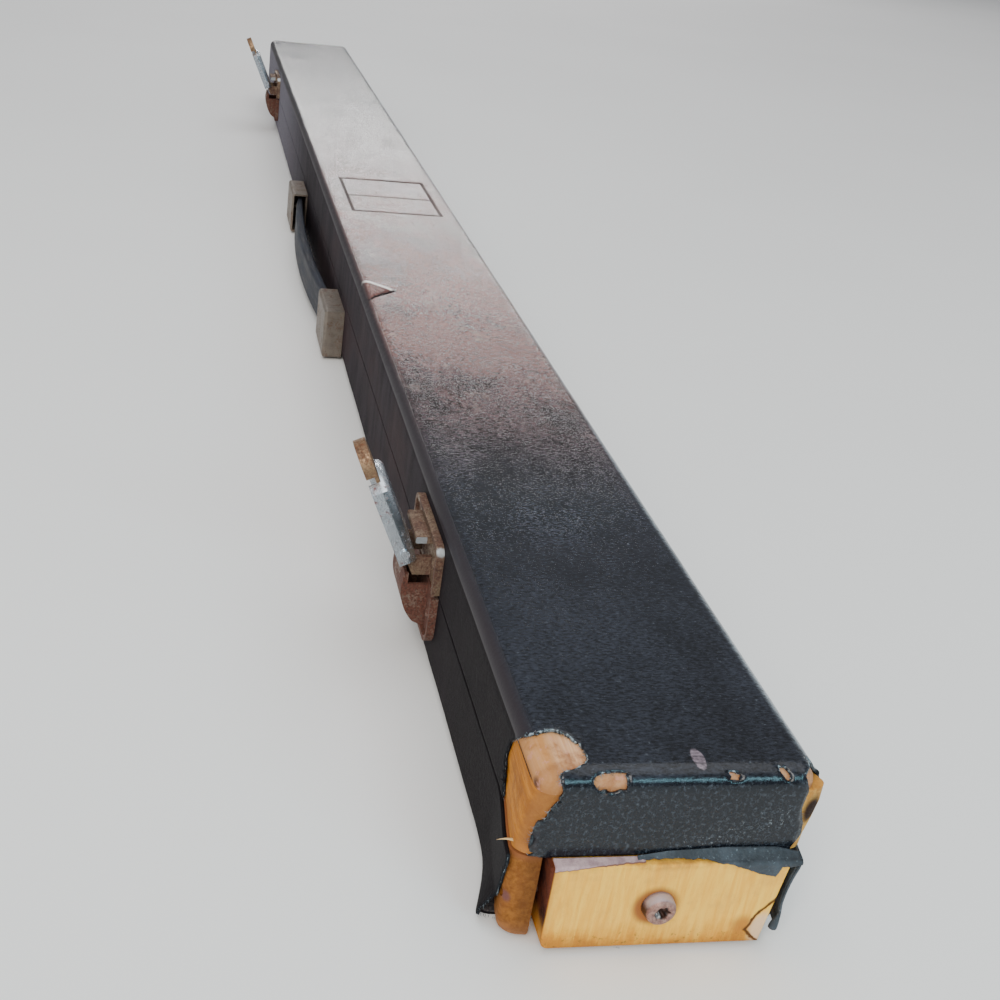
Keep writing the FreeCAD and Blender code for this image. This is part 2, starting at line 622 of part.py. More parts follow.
def make_latches():
    for name, centre in (("near", LATCH_X), ("far", -LATCH_X)):
        save("latch_tray_bracket_" + name, tray_bracket(centre))
        save("latch_lid_bracket_" + name, lid_bracket(centre))
        save("latch_pin_" + name, latch_pin(centre))
        save("latch_hasp_" + name, hasp(centre))
        save("latch_cover_" + name, hasp_cover(centre))
        save("latch_spring_" + name, latch_spring(centre))
    save("latch_tray_rivets", rivets(TRAY_LATCH_RIVETS, LATCH_FACE, OUT_FRONT, PLATE_T))
    save("latch_lid_rivets", rivets(LID_LATCH_RIVETS, LATCH_FACE, OUT_FRONT, PLATE_T))


# ---- handle -------------------------------------------------------------------------------
def cap_shell(centre, towards):
    """Pressed box cap, open at the back and on the side the strap leaves by."""
    x0 = centre - CAP_LENGTH / 2
    x1 = centre + CAP_LENGTH / 2
    out = FRONT - CAP_DEPTH
    block = box(x0, x1, out, FRONT, CAP_Z[0], CAP_Z[1])
    blind_x = x0 if towards > 0 else x1
    rounded = [e for e in block.Edges if e.BoundBox.YMax < out + 0.01
               or (e.BoundBox.ZMax < CAP_Z[0] + 0.01
                   and abs(e.BoundBox.XMin - blind_x) < 0.01 and e.BoundBox.XLength < 0.01)]
    block = block.makeFillet(1.3, rounded)
    in0 = x0 + CAP_WALL if towards > 0 else x0 - 1
    in1 = x1 + 1 if towards > 0 else x1 - CAP_WALL
    hollow = box(in0, in1, out + CAP_WALL, FRONT + 1, CAP_Z[0] + CAP_WALL,
                 CAP_Z[1] - CAP_WALL)
    return block.cut(hollow)


def cap_plate(centre):
    half = CAP_LENGTH / 2 - CAP_WALL - 0.1
    body = box(centre - half, centre + half, CAP_FACE, FRONT, CAP_Z[0] + CAP_WALL + 0.1,
               CAP_Z[1] - CAP_WALL - 0.1)
    holes = rivet_holes(cap_rivet_places(), CAP_FACE, OUT_FRONT, CAP_PLATE_T)
    return drilled(body, holes)


def cap_stud(centre):
    middle = (CORE_Z[0] + CORE_Z[1]) / 2
    length = CAP_DEPTH - CAP_PLATE_T - CAP_WALL
    return rod(STUD_R, V(centre, CAP_FACE, middle), OUT_FRONT, length)


def bowed_strip(half, near_y, far_y, bow, thick_end, thick_mid, z0, z1):
    """Strip bowed away from the case: the arcs share their ends' X at +half and -half."""
    ends_in = near_y
    ends_out = far_y
    mid_in = near_y - bow
    mid_out = mid_in - thick_mid
    a = V(HANDLE_X - half, ends_in, z0)
    b = V(HANDLE_X + half, ends_in, z0)
    c = V(HANDLE_X + half, ends_out, z0)
    d = V(HANDLE_X - half, ends_out, z0)
    wire = Part.Wire([Part.Arc(a, V(HANDLE_X, mid_in, z0), b).toShape(),
                      Part.LineSegment(b, c).toShape(),
                      Part.Arc(c, V(HANDLE_X, mid_out, z0), d).toShape(),
                      Part.LineSegment(d, a).toShape()])
    return Part.Face(wire).extrude(V(0, 0, z1 - z0))


def make_handle():
    mouth = CAP_OUTER - CAP_LENGTH
    grip_half = mouth + GRIP_IN_CAP
    grip_in = FRONT - 1.7
    strip = bowed_strip(grip_half, grip_in, grip_in - GRIP_END_T, GRIP_BOW, GRIP_END_T,
                        GRIP_T, GRIP_Z[0], GRIP_Z[1])
    core_in = grip_in - (GRIP_END_T - CORE_T) / 2
    channel = bowed_strip(grip_half, core_in + 0.05, core_in - CORE_T - 0.05, GRIP_BOW + 0.8,
                          CORE_T, CORE_T + 0.1, CORE_Z[0] - 0.05, CORE_Z[1] + 0.05)
    save("handle_grip", strip.cut(channel))
    core = bowed_strip(grip_half, core_in, core_in - CORE_T, GRIP_BOW + 0.8, CORE_T, CORE_T,
                       CORE_Z[0], CORE_Z[1])
    middle = (CORE_Z[0] + CORE_Z[1]) / 2
    tab = CAP_OUTER - CAP_WALL - 1.5
    for side in (-1, 1):
        x0 = HANDLE_X + side * (grip_half - 0.01)
        x1 = HANDLE_X + side * tab
        core = core.fuse(box(min(x0, x1), max(x0, x1), core_in - CORE_T, core_in,
                             CORE_Z[0], CORE_Z[1]))
    for centre in cap_centres().values():
        slot = box(centre - 3, centre + 3, core_in - 2, core_in + 2, middle - STUD_SLOT_R,
                   middle + STUD_SLOT_R)
        for x in (centre - 3, centre + 3):
            slot = slot.fuse(rod(STUD_SLOT_R, V(x, core_in - 2, middle), OUT_BACK, 4))
        core = core.cut(slot)
    save("handle_core", core.removeSplitter())
    for name, towards in (("near", -1), ("far", 1)):
        centre = cap_centres()[name]
        save("handle_cap_" + name, cap_shell(centre, towards))
        save("handle_plate_" + name, cap_plate(centre))
    save("handle_studs", [cap_stud(x) for x in cap_centres().values()])
    save("handle_rivets", rivets(cap_rivet_places(), CAP_FACE, OUT_FRONT, CAP_PLATE_T,
                                 1.5, 0.6))


def main():
    os.makedirs("parts", exist_ok=True)
    outside = rounded_block(0.0, EDGE_R)
    wood = rounded_block(CLOTH, EDGE_R - CLOTH)
    make_tray(wood)
    make_lid(wood)
    make_coverings(outside, wood)
    make_lining()
    make_fittings()
    make_hinges()
    make_latches()
    make_handle()
    save("end_screw", end_screw_with_head())
    save("tray_corner_nails", [nail(x, side) for x, side in nail_places()])


main()
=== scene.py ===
import math

import bmesh
import bpy
import numpy as np
from mathutils import Matrix, Vector, noise


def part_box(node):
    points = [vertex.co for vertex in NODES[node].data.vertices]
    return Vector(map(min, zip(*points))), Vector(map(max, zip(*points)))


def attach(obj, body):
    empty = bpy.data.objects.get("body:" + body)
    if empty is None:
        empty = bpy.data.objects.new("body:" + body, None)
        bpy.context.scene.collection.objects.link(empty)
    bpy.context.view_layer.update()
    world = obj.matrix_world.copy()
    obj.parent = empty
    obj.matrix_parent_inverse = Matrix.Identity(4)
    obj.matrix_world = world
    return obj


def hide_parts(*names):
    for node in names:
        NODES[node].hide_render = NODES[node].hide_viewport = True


# A long cue case covered in worn leathercloth. Metres, in the frame of the CAD model:
# +X is the near end, -Y is the latch and handle side, +Z is up, the floor is z = 0.
# Materials, outlines and the places in them are written in millimetres.

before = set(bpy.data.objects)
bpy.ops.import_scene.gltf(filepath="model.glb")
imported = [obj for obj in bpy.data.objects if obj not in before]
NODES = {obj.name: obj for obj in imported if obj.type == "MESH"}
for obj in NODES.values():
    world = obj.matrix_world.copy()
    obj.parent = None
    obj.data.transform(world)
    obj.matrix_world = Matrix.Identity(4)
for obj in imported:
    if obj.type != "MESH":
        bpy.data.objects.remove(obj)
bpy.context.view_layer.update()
MM = 0.001
# noise_vector's offsets come from the clock unless they are seeded.
noise.seed_set(7)

# ---- places taken from the frame, and shared sizes ----
(FAR_X, FRONT_Y, _), (NEAR_X, BACK_Y, TOP_Z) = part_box("lid_covering")
GRIP_LO, GRIP_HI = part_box("handle_grip")
SCREW_LO, SCREW_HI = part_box("end_screw")
END_FACE_X, _, LEDGE_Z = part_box("tray_near_end_board")[1]
EDGE_R = 4.0 * MM
CLOTH = 0.7 * MM
SNAP = 0.34 * MM
# The camera's place, which is also where the chips in the lid's edge are cut from.
EYE = Vector((0.59755, -0.09592, 0.19103))


# ---- mesh helpers ----
def spaced(*stops):
    """Coordinates from (value, step) stops: each stretch is divided at about its own step."""
    out = [stops[0][0]]
    for (a, step), (b, _) in zip(stops, stops[1:]):
        count = max(1, round(abs(b - a) / step))
        out += [a + (b - a) * (i + 1) / count for i in range(count)]
    return np.array(out) * MM


def smoothstep(v, low, high):
    t = np.clip((v - low) / (high - low), 0, 1)
    return t * t * (3 - 2 * t)


def add_object(name, data):
    obj = bpy.data.objects.new(name, data)
    bpy.context.scene.collection.objects.link(obj)
    return obj


def new_object(name, verts, faces, smooth=True):
    mesh = bpy.data.meshes.new(name)
    mesh.from_pydata([tuple(v) for v in verts], [], faces)
    mesh.update()
    if smooth:
        mesh.shade_smooth()
    return add_object(name, mesh)


def fit(obj, material, body, replaced=None):
    """Give a new piece its material and body, and say which CAD node it replaces."""
    obj.data.materials.append(material)
    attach(obj, body)
    if replaced:
        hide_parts(replaced)


def lattice_skin(xs, ys, zs, walls):
    """Quads of the chosen walls of a box lattice. walls: x-, x+, y-, y+, z-, z+."""
    index = {}
    points = []
    quads = []

    def vert(i, j, k):
        key = (i, j, k)
        if key not in index:
            index[key] = len(points)
            points.append((xs[i], ys[j], zs[k]))
        return index[key]

    cells = [len(xs) - 1, len(ys) - 1, len(zs) - 1]
    for wall in walls:
        axis = "xyz".index(wall[0])
        high = wall[1] == "+"
        first, second = [n for n in range(3) if n != axis]
        corners = [(0, 0), (0, 1), (1, 1), (1, 0)] if axis == 1 else [(0, 0), (1, 0), (1, 1), (0, 1)]
        place = [cells[axis] if high else 0] * 3
        for u in range(cells[first]):
            for v in range(cells[second]):
                quad = []
                for du, dv in corners:
                    place[first] = u + du
                    place[second] = v + dv
                    quad.append(vert(*place))
                quads.append(quad if high else quad[::-1])
    return np.array(points), quads


def grid_faces(rows, columns, closed=False):
    """Quads between rows of equally many points; closed joins each row's end to its start."""
    quads = []
    for r in range(rows - 1):
        for c in range(columns if closed else columns - 1):
            d = (c + 1) % columns
            quads.append([r * columns + c, r * columns + d, (r + 1) * columns + d,
                          (r + 1) * columns + c])
    return quads


def rounded(points, near_x):
    """Round the case's edges out to near_x: returns the moved points and their outward normals."""
    lo = np.array([FAR_X, FRONT_Y, 0.0]) + EDGE_R
    hi = np.array([near_x, BACK_Y, TOP_Z]) - EDGE_R
    inner = np.clip(points, lo, hi)
    away = points - inner
    normals = away / np.linalg.norm(away, axis=1)[:, None]
    return inner + normals * EDGE_R, normals


def inside_polygon(p, poly):
    """Which of the flat points p lie inside the closed polygon."""
    inside = np.zeros(len(p), bool)
    for a, b in zip(poly, np.roll(poly, -1, axis=0)):
        crosses = (a[1] > p[:, 1]) != (b[1] > p[:, 1])
        slope = (b[0] - a[0]) / (b[1] - a[1] + 1e-12)
        inside ^= crosses & (p[:, 0] < slope * (p[:, 1] - a[1]) + a[0])
    return inside


def nearest_on_polygon(p, poly):
    """Distance from each flat point to the polygon's outline, and the nearest point of it."""
    best = np.full(len(p), np.inf)
    nearest = np.zeros_like(p)
    for a, b in zip(poly, np.roll(poly, -1, axis=0)):
        along = b - a
        t = np.clip(((p - a) @ along) / (along @ along), 0, 1)
        q = a + t[:, None] * along
        d = np.linalg.norm(p - q, axis=1)
        closer = d < best
        best[closer] = d[closer]
        nearest[closer] = q[closer]
    return best, nearest


def ragged(outline, step, size, seed):
    """Closed smooth outline in metres through points in millimetres, a little ragged by size."""
    ring = [Vector([c * MM for c in p]) for p in outline]
    out = []
    for i, b in enumerate(ring):
        a, c, d = ring[i - 1], ring[(i + 1) % len(ring)], ring[(i + 2) % len(ring)]
        count = max(1, int((c - b).length / step))
        for n in range(count):
            t = n / count
            p = 0.5 * ((2 * b) + (c - a) * t + (2 * a - 5 * b + 4 * c - d) * t * t
                       + (3 * b - a - 3 * c + d) * t ** 3)
            out.append(p + noise.noise_vector(p / (3 * step) + Vector((seed, 0, 0))) * size)
    return out


class Skin:
    """An open sheet of quads that holes are torn in; wear is 1 at a torn edge, 0 away from it."""

    def __init__(self, points, normals, quads):
        self.points = points
        self.normals = normals
        self.quads = quads
        self.wear = np.zeros(len(points))
        self.torn = []

    def tear(self, outline, toward, reach=1.1 * MM):
        """Take out the quads inside an outline seen from the direction toward.

        Points within SNAP of the outline move onto it; wear spreads reach away from it.
        """
        view = Vector(toward).normalized()
        side = view.orthogonal().normalized()
        plane = np.array([side, view.cross(side)])
        poly = np.array([[p.dot(side), p.dot(Vector(plane[1]))] for p in outline])
        middle = np.mean(outline, axis=0)
        size = max(np.linalg.norm(np.array(p) - middle) for p in outline)
        facing = self.normals @ np.array(view)
        close = (facing > 0.2) & (np.linalg.norm(self.points - middle, axis=1) < 1.6 * size)
        picked = np.nonzero(close)[0]
        flat = self.points[picked] @ plane.T
        inside = np.zeros(len(self.points), bool)
        inside[picked] = inside_polygon(flat, poly)
        distance, nearest = nearest_on_polygon(flat, poly)
        self.wear[picked] = np.maximum(self.wear[picked], np.clip(1 - distance / reach, 0, 1))
        on_edge = np.zeros(len(self.points), bool)
        for local in np.nonzero(distance < SNAP)[0]:
            i = picked[local]
            gap = nearest[local] - flat[local]
            system = np.vstack([plane, self.normals[i]])
            move = np.linalg.solve(system, np.array([gap[0], gap[1], 0.0]))
            if np.linalg.norm(move) < 2.0 * SNAP:
                self.points[i] += move
                inside[i] = False
                on_edge[i] = True
        kept = []
        for quad in self.quads:
            gone = any(inside[v] for v in quad)
            if not gone and all(on_edge[v] for v in quad):
                centre = self.points[quad].mean(axis=0) @ plane.T
                gone = bool(inside_polygon(centre[None, :], poly)[0])
            if not gone:
                kept.append(quad)
        self.quads = kept
        self.torn += [(i, tuple(middle)) for i in np.nonzero(on_edge)[0]]

    def build(self, name, material, body, replaced, back=None):
        """Make the object from the quads left; back is the material of the inner face."""
        used = sorted({v for q in self.quads for v in q})
        remap = {v: n for n, v in enumerate(used)}
        obj = new_object(name, self.points[used], [[remap[v] for v in q] for q in self.quads])
        store_values(obj, "wear", self.wear[used])
        thicken(obj, CLOTH, 1 if back else 0)
        fit(obj, material, body, replaced)
        if back is not None:
            obj.data.materials.append(back)
        return obj


def store_values(obj, name, values):
    attribute = obj.data.attributes.new(name, "FLOAT", "POINT")
    attribute.data.foreach_set("value", np.asarray(values, np.float32))


def bump_map(p, scale, seed):
    """Smooth noise, about -1 to 1, at each point."""
    offset = Vector((seed, 2.0 * seed, 0))
    return np.array([noise.noise(Vector(q) / scale + offset) for q in p])


def thicken(obj, thickness, inner_slot=0):
    mod = obj.modifiers.new("thickness", "SOLIDIFY")
    mod.thickness = thickness
    mod.offset = -1.0
    mod.use_rim = True
    mod.material_offset = inner_slot


def fibres(name, roots, aims, lifts, length, seed, material, body):
    """Loose tapered threads: each starts at a root, runs along its aim and curls up a little."""
    rng = np.random.default_rng(seed)
    verts = []
    faces = []
    stations = 5
    radius = 0.055 * MM
    for root, aim, lift in zip(roots, aims, lifts):
        reach = length * rng.uniform(0.35, 1.0)
        side = np.cross(aim, lift)
        side /= np.linalg.norm(side) + 1e-9
        swing = rng.uniform(-0.9, 0.9)
        curl = rng.uniform(0.05, 0.55)
        start = len(verts)
        for n in range(stations):
            t = n / (stations - 1)
            centre = (root + aim * reach * t * (1 - 0.3 * curl * t) + side * reach * swing * t * t
                      + lift * reach * curl * t * (1.3 - t))
            width = radius * (1.15 - t)
            for turn in range(3):
                angle = turn * 2 * math.pi / 3
                verts.append(centre + (side * math.cos(angle) + lift * math.sin(angle)) * width)
        faces += [[start + v for v in quad] for quad in grid_faces(stations, 3, closed=True)]
        last = start + 3 * (stations - 1)
        faces.append([last, last + 1, last + 2])
    fit(new_object(name, verts, faces), material, body)


def fray(name, skin, length, seed, material, body):
    """Threads along the torn edges of a skin, pointing into the holes."""
    rng = np.random.default_rng(seed)
    roots, aims, lifts = [], [], []
    for i, middle in skin.torn:
        if rng.uniform() > 0.55:
            continue
        normal = skin.normals[i]
        aim = np.array(middle) - skin.points[i] + rng.normal(0, 2.5 * MM, 3)
        aim -= normal * (aim @ normal)
        roots.append(skin.points[i] - normal * 0.3 * MM)
        aims.append(aim / (np.linalg.norm(aim) + 1e-9))
        lifts.append(normal)
    fibres(name, roots, aims, lifts, length, seed, material, body)


# ---- materials ----
class Shader:
    """Short calls for building a node material in object coordinates, in millimetres."""

    def __init__(self, name):
        self.material = bpy.data.materials.new(name)
        self.material.use_nodes = True
        self.tree = self.material.node_tree
        self.bsdf = self.tree.nodes["Principled BSDF"]
        coords = self.node("ShaderNodeTexCoord").outputs["Object"]
        scaled = self.node("ShaderNodeVectorMath", {0: coords, "Scale": 1000.0}, operation="SCALE")
        self.mm = scaled.outputs[0]
        self.colour = None

    def node(self, kind, inputs=None, **settings):
        made = self.tree.nodes.new(kind)
        for key, value in settings.items():
            setattr(made, key, value)
        for key, value in (inputs or {}).items():
            self.link(value, made.inputs[key])
        return made

    def link(self, source, target):
        """Feed a socket from another socket, a number, a vector or a hex colour."""
        if isinstance(source, str):
            source = rgb(source)
        if isinstance(source, (int, float)):
            target.default_value = source
        elif isinstance(source, tuple):
            target.default_value = source if len(source) == len(target.default_value) else (*source, 1.0)
        else:
            self.tree.links.new(source, target)

    def vector(self, operation, a, b):
        return self.node("ShaderNodeVectorMath", {0: a, 1: b}, operation=operation).outputs[0]

    def stretch(self, x=1.0, y=1.0, z=1.0):
        return self.vector("MULTIPLY", self.mm, (x, y, z))

    def noise(self, scale, detail=4.0, rough=0.55, vector=None, distortion=0.0):
        inputs = {"Vector": vector or self.mm, "Scale": scale, "Detail": detail, "Roughness": rough,
                  "Distortion": distortion}
        return self.node("ShaderNodeTexNoise", inputs).outputs["Fac"]

    def ramp(self, fac, low, high, a=0.0, b=1.0):
        """Smooth step of fac from low to high, giving a to b."""
        inputs = {"Value": fac, "From Min": low, "From Max": high, "To Min": a, "To Max": b}
        made = self.node("ShaderNodeMapRange", inputs, interpolation_type="SMOOTHSTEP")
        return made.outputs["Result"]

    def math(self, operation, a, b=0.0):
        return self.node("ShaderNodeMath", {0: a, 1: b}, operation=operation).outputs[0]

    def times(self, *factors):
        out = factors[0]
        for factor in factors[1:]:
            out = self.math("MULTIPLY", out, factor)
        return out

    def plus(self, *terms):
        out = terms[0]
        for term in terms[1:]:
            out = self.math("ADD", out, term)
        return out

    def mix(self, fac, a, b, blend="MIX"):
        inputs = {0: fac, 6: a, 7: b}
        return self.node("ShaderNodeMix", inputs, data_type="RGBA", blend_type=blend).outputs[2]

    def stain(self, where, colour, amount=None):
        """Lay a colour over what is there, where the mask says."""
        where = where if amount is None else self.times(where, amount)
        self.colour = self.mix(where, self.colour, colour)

    def xyz(self):
        return self.node("ShaderNodeSeparateXYZ", {0: self.mm}).outputs

    def stored(self, name):
        return self.node("ShaderNodeAttribute", attribute_name=name).outputs["Fac"]

    def near_point(self, place, low, high, squash=(1, 1, 1)):
        """1 within low of a place, falling to 0 at high."""
        shift = self.vector("SUBTRACT", self.mm, place)
        scaled = self.vector("MULTIPLY", shift, squash)
        length = self.node("ShaderNodeVectorMath", {0: scaled}, operation="LENGTH")
        return self.ramp(length.outputs["Value"], high, low)

    def near_line(self, u, v, a, b, width, wobble=0.0):
        """1 on the segment from a to b of the (u, v) plane, falling to 0 at width."""
        du, dv = b[0] - a[0], b[1] - a[1]
        length = math.hypot(du, dv)
        du, dv = du / length, dv / length
        pu = self.math("SUBTRACT", u, a[0])
        pv = self.math("SUBTRACT", v, a[1])
        along = self.plus(self.times(pu, du), self.times(pv, dv))
        across = self.plus(self.times(pu, -dv), self.times(pv, du))
        if wobble:
            across = self.plus(across, self.times(self.plus(self.noise(0.35, 3.0), -0.5), wobble))
        on = self.ramp(self.math("ABSOLUTE", across), width, 0.15 * width)
        return self.times(on, self.ramp(along, -width, 0.0), self.ramp(along, length + width, length))

    def bump(self, height, strength, distance):
        inputs = {"Height": height, "Strength": strength, "Distance": distance}
        return self.node("ShaderNodeBump", inputs).outputs["Normal"]

    def finish(self, roughness, normal=None, metallic=0.0, specular=0.5, sheen=0.0):
        values = {"Base Color": self.colour, "Roughness": roughness, "Metallic": metallic,
                  "Specular IOR Level": specular, "Sheen Weight": sheen}
        if normal is not None:
            values["Normal"] = normal
        for key, value in values.items():
            self.link(value, self.bsdf.inputs[key])
        return self.material


def rgb(hexcode):
    """sRGB hex code to a linear colour."""
    out = []
    for i in (0, 2, 4):
        c = int(hexcode[i:i + 2], 16) / 255
        out.append(c / 12.92 if c <= 0.04045 else ((c + 0.055) / 1.055) ** 2.4)
    return tuple(out)


def leather_relief(s):
    """Fine pebbled grain over a faint weave."""
    grain = s.node("ShaderNodeTexVoronoi", {"Vector": s.mm, "Scale": 1.3}).outputs["Distance"]
    weave = s.noise(1.5, 5.0, 0.7, s.stretch(1.3, 0.5, 1.0))
    return s.plus(s.times(grain, 0.5), s.times(weave, 0.9)), weave


def speckled(s, weave, low, high):
    """Fine light and dark flecks following the weave."""
    fine = s.ramp(weave, 0.3, 0.7, low, high)
    grey = s.node("ShaderNodeCombineColor", {0: fine, 1: fine, 2: fine}).outputs[0]
    s.colour = s.mix(1.0, s.colour, grey, "MULTIPLY")


def worn_edge(s, pale):
    """Bare threads where the cloth is torn through: dark, and pale on the lid's top."""
    rough_edge = s.plus(s.stored("wear"), s.times(s.noise(0.9, 6.0, 0.75), 1.6))
    on_top = s.ramp(s.xyz()[2], 40.6, 41.6)
    s.stain(s.ramp(rough_edge, 1.35, 1.7), "14181d", 0.8)
    s.stain(s.times(s.ramp(rough_edge, 1.55, 1.85), s.plus(on_top, 0.15)), pale)


def pressed_lines(s, x, y):
    """The outline and divider of the pressed rectangle on the lid's top."""
    lengthwise = [((MARK_X[0], place), (MARK_X[1], place)) for place in MARK_Y]
    crosswise = [((place, MARK_Y[0]), (place, MARK_Y[1])) for place in (*MARK_X, MARK_DIVIDER)]
    lines = [s.near_line(x, y, start, end, 1.1) for start, end in lengthwise + crosswise]
    return s.times(s.plus(*lines), 0.8)


def lid_leathercloth():
    """Glossy black, browned and rubbed by handling along the middle of the lid."""
    s = Shader("lid_leather")
    x, y, z = s.xyz()
    patches = s.noise(0.045, 6.0, 0.65, s.stretch(0.5, 1.0, 1.0))
    cloud = s.noise(0.016, 4.0, 0.6)
    s.colour = s.mix(s.ramp(patches, 0.3, 0.7), "181a20", "23262e")
    handled = s.times(s.ramp(x, 320.0, 160.0), s.ramp(x, -200.0, 60.0))
    s.stain(s.times(handled, s.ramp(s.plus(patches, cloud), 0.62, 1.15)), "66403a")
    bald = s.ramp(s.noise(0.09, 6.0, 0.7), 0.54, 0.74)
    s.stain(s.times(handled, bald), "7d6f66", 0.55)
    height, weave = leather_relief(s)
    dust = s.ramp(s.noise(1.1, 8.0, 0.72), 0.57, 0.72)
    s.stain(dust, "77808a", 0.22)
    threads = s.times(s.ramp(weave, 0.56, 0.72), s.ramp(x, 300.0, 150.0))
    s.stain(threads, "a08c84", 0.3)
    # Rubbed wear along the back top edge, with a painted highlight in the same grey-blue band.
    back_edge_rub_and_highlight = s.times(s.ramp(y, 24.8, 27.2), s.ramp(z, 38.8, 41.0), s.ramp(patches, 0.35, 0.6))
    s.stain(back_edge_rub_and_highlight, "8f989f", 0.75)
    scuff = s.near_point((415.0, 4.0, 42.4), 1.4, 3.2, (0.72, 1.6, 1.0))
    ragged_scuff = s.plus(scuff, s.times(s.noise(0.5, 5.0, 0.7), 0.8))
    s.stain(s.ramp(ragged_scuff, 0.95, 1.25), "625860")
    pressed = pressed_lines(s, x, y)
    s.stain(s.times(pressed, s.ramp(z, 41.5, 42.0)), "2c2422")
    # Painted highlight along the fold's far edge, and painted shadow along its near edge.
    s.stain(s.near_line(x, y, *FOLD_HIGHLIGHT_EDGE, 1.5, 1.0), "f2ece8")
    s.stain(s.near_line(x, y, *FOLD[1:], 0.9, 1.0), "1a1516")
    speckled(s, weave, 0.3, 2.1)
    end_face = s.ramp(x, 418.6, 419.8)
    s.stain(end_face, "0a0e15", 0.8)
    s.stain(s.times(end_face, s.ramp(s.noise(1.0, 8.0, 0.8), 0.5, 0.66)), "6c7784", 0.3)
    track = s.near_line(y, z, (2, 24.5), (22, 32.5), 4.5, 3.0)
    scratches = s.times(track, s.ramp(x, 418.0, 419.6), s.ramp(s.noise(0.9, 8.0, 0.8), 0.55, 0.7))
    s.stain(scratches, "9aa2a8")
    front_edge = s.ramp(y, -25.5, -27.6)
    s.stain(front_edge, "2a252a")
    worn_edge(s, "8fa0aa")
    smooth = s.plus(s.ramp(patches, 0.3, 0.7, 0.11, 0.16), s.ramp(weave, 0.3, 0.7, 0.05, 0.0))
    rubbed = s.times(handled, s.ramp(s.noise(0.7, 6.0, 0.75), 0.42, 0.62), 0.09)
    rough = s.plus(smooth, rubbed, s.times(pressed, 0.5), s.times(front_edge, 0.4))
    return s.finish(rough, s.bump(height, 0.5, 0.00008), specular=0.32)


def front_leathercloth(name):
    """Dull purple-black cloth of the sides, streaked upright, with a painted reflection that greys it
    towards the far end.
    """
    s = Shader(name)
    x = s.xyz()[0]
    streaks = s.noise(0.16, 6.0, 0.6, s.stretch(1.0, 1.0, 0.22))
    patches = s.noise(0.02, 5.0, 0.6, s.stretch(0.6, 1.0, 1.0))
    s.colour = s.mix(s.ramp(streaks, 0.3, 0.7), "1c171c", "2e272d")
    s.stain(s.ramp(patches, 0.5, 0.7, 0.0, 0.6), "3c2c2e")
    # Painted reflection: grey-lilac towards the far end, where light glances off the cloth.
    s.stain(s.ramp(x, -60.0, -300.0), "787580", 0.8)
    s.stain(s.ramp(x, 240.0, 380.0), "0b070a", 0.85)
    height, weave = leather_relief(s)
    s.stain(s.ramp(s.noise(1.1, 8.0, 0.72), 0.6, 0.75), "6c6a70", 0.16)
    speckled(s, weave, 0.6, 1.5)
    worn_edge(s, "3f464c")
    rough = s.ramp(weave, 0.3, 0.7, 0.68, 0.82)
    return s.finish(rough, s.bump(height, 0.5, 0.0003), specular=0.13)


def cloth_backing():
    s = Shader("cloth_backing")
    weave = s.noise(2.2, 4.0, 0.6)
    s.colour = s.mix(s.ramp(weave, 0.35, 0.65), "3c3a3e", "5d5a5c")
    return s.finish(0.9, s.bump(weave, 0.6, 0.0003), specular=0.2)


def torn_threads():
    s = Shader("torn_threads")
    s.colour = s.mix(s.ramp(s.noise(0.5, 3.0, 0.6), 0.4, 0.6), "2d353c", "8c989f")
    return s.finish(0.8)


def slate_cloth():
    """The scrap of cloth left on the end board, greyed and dusty."""
    s = Shader("slate_cloth")
    tone = s.noise(0.12, 6.0, 0.65)
    s.colour = s.mix(s.ramp(tone, 0.35, 0.65), "2a3036", "434c55")
    s.stain(s.ramp(s.noise(1.4, 6.0, 0.7), 0.58, 0.7), "8696a0", 0.5)
    height = leather_relief(s)[0]
    return s.finish(0.6, s.bump(height, 0.6, 0.0003), specular=0.35)


def backing_strip():
    """Pinkish paper-backed cloth with a brown glue line along its lower edge."""
    s = Shader("backing_strip")
    tone = s.noise(0.35, 6.0, 0.7)
    s.colour = s.mix(s.ramp(tone, 0.35, 0.65), "967a80", "bda2a4")
    glue = s.ramp(s.plus(s.stored("wear"), s.times(tone, 0.6)), 0.9, 1.15)
    s.stain(glue, "7c5648")
    return s.finish(0.85, s.bump(s.noise(2.0, 5.0, 0.7), 0.7, 0.0003))


NAIL_STAIN = (418.2, -30.4, 11.5)
SCREW_STAIN = (422.4, -0.8, 12.3)
BOARD_SPLIT = [(24.6, 14.0), (23.2, 11.8), (21.4, 9.9), (20.4, 7.8), (19.5, 5.2), (20.9, 3.2),
               (23.4, 1.6)]


class Wood(Shader):
    """Bare wood with its grain along one axis; stains and cracks are laid over it."""

    def __init__(self, name, pale, dark, axis):
        super().__init__(name)
        lengthwise = {"x": (0.05, 1.0, 1.0), "y": (1.0, 0.07, 1.0), "z": (1.0, 1.0, 0.09)}[axis]
        self.grain = self.noise(0.8, 8.0, 0.65, self.stretch(*lengthwise), 0.5)
        self.pores = self.noise(3.0, 5.0, 0.65, self.stretch(*lengthwise))
        self.mottle = self.noise(0.13, 7.0, 0.68)
        self.colour = self.mix(self.ramp(self.grain, 0.32, 0.68), pale, dark)
        self.stain(self.ramp(self.pores, 0.58, 0.72), dark, 0.35)
        self.cracks = None

    def mottled(self, value, size, low, high):
        """Ramp of a coordinate, its edge made uneven by the mottle."""
        return self.ramp(self.plus(value, self.times(self.mottle, size)), low, high)

    def crack(self, where, colour="2b1a12"):
        self.stain(where, colour)
        self.cracks = where if self.cracks is None else self.math("MAXIMUM", self.cracks, where)

    def done(self):
        height = self.plus(self.grain, self.times(self.pores, 0.6))
        if self.cracks is not None:
            height = self.plus(height, self.times(self.cracks, -3.0))
        rough = self.ramp(self.pores, 0.3, 0.7, 0.6, 0.8)
        return self.finish(rough, self.bump(height, 0.5, 0.0003), specular=0.15)


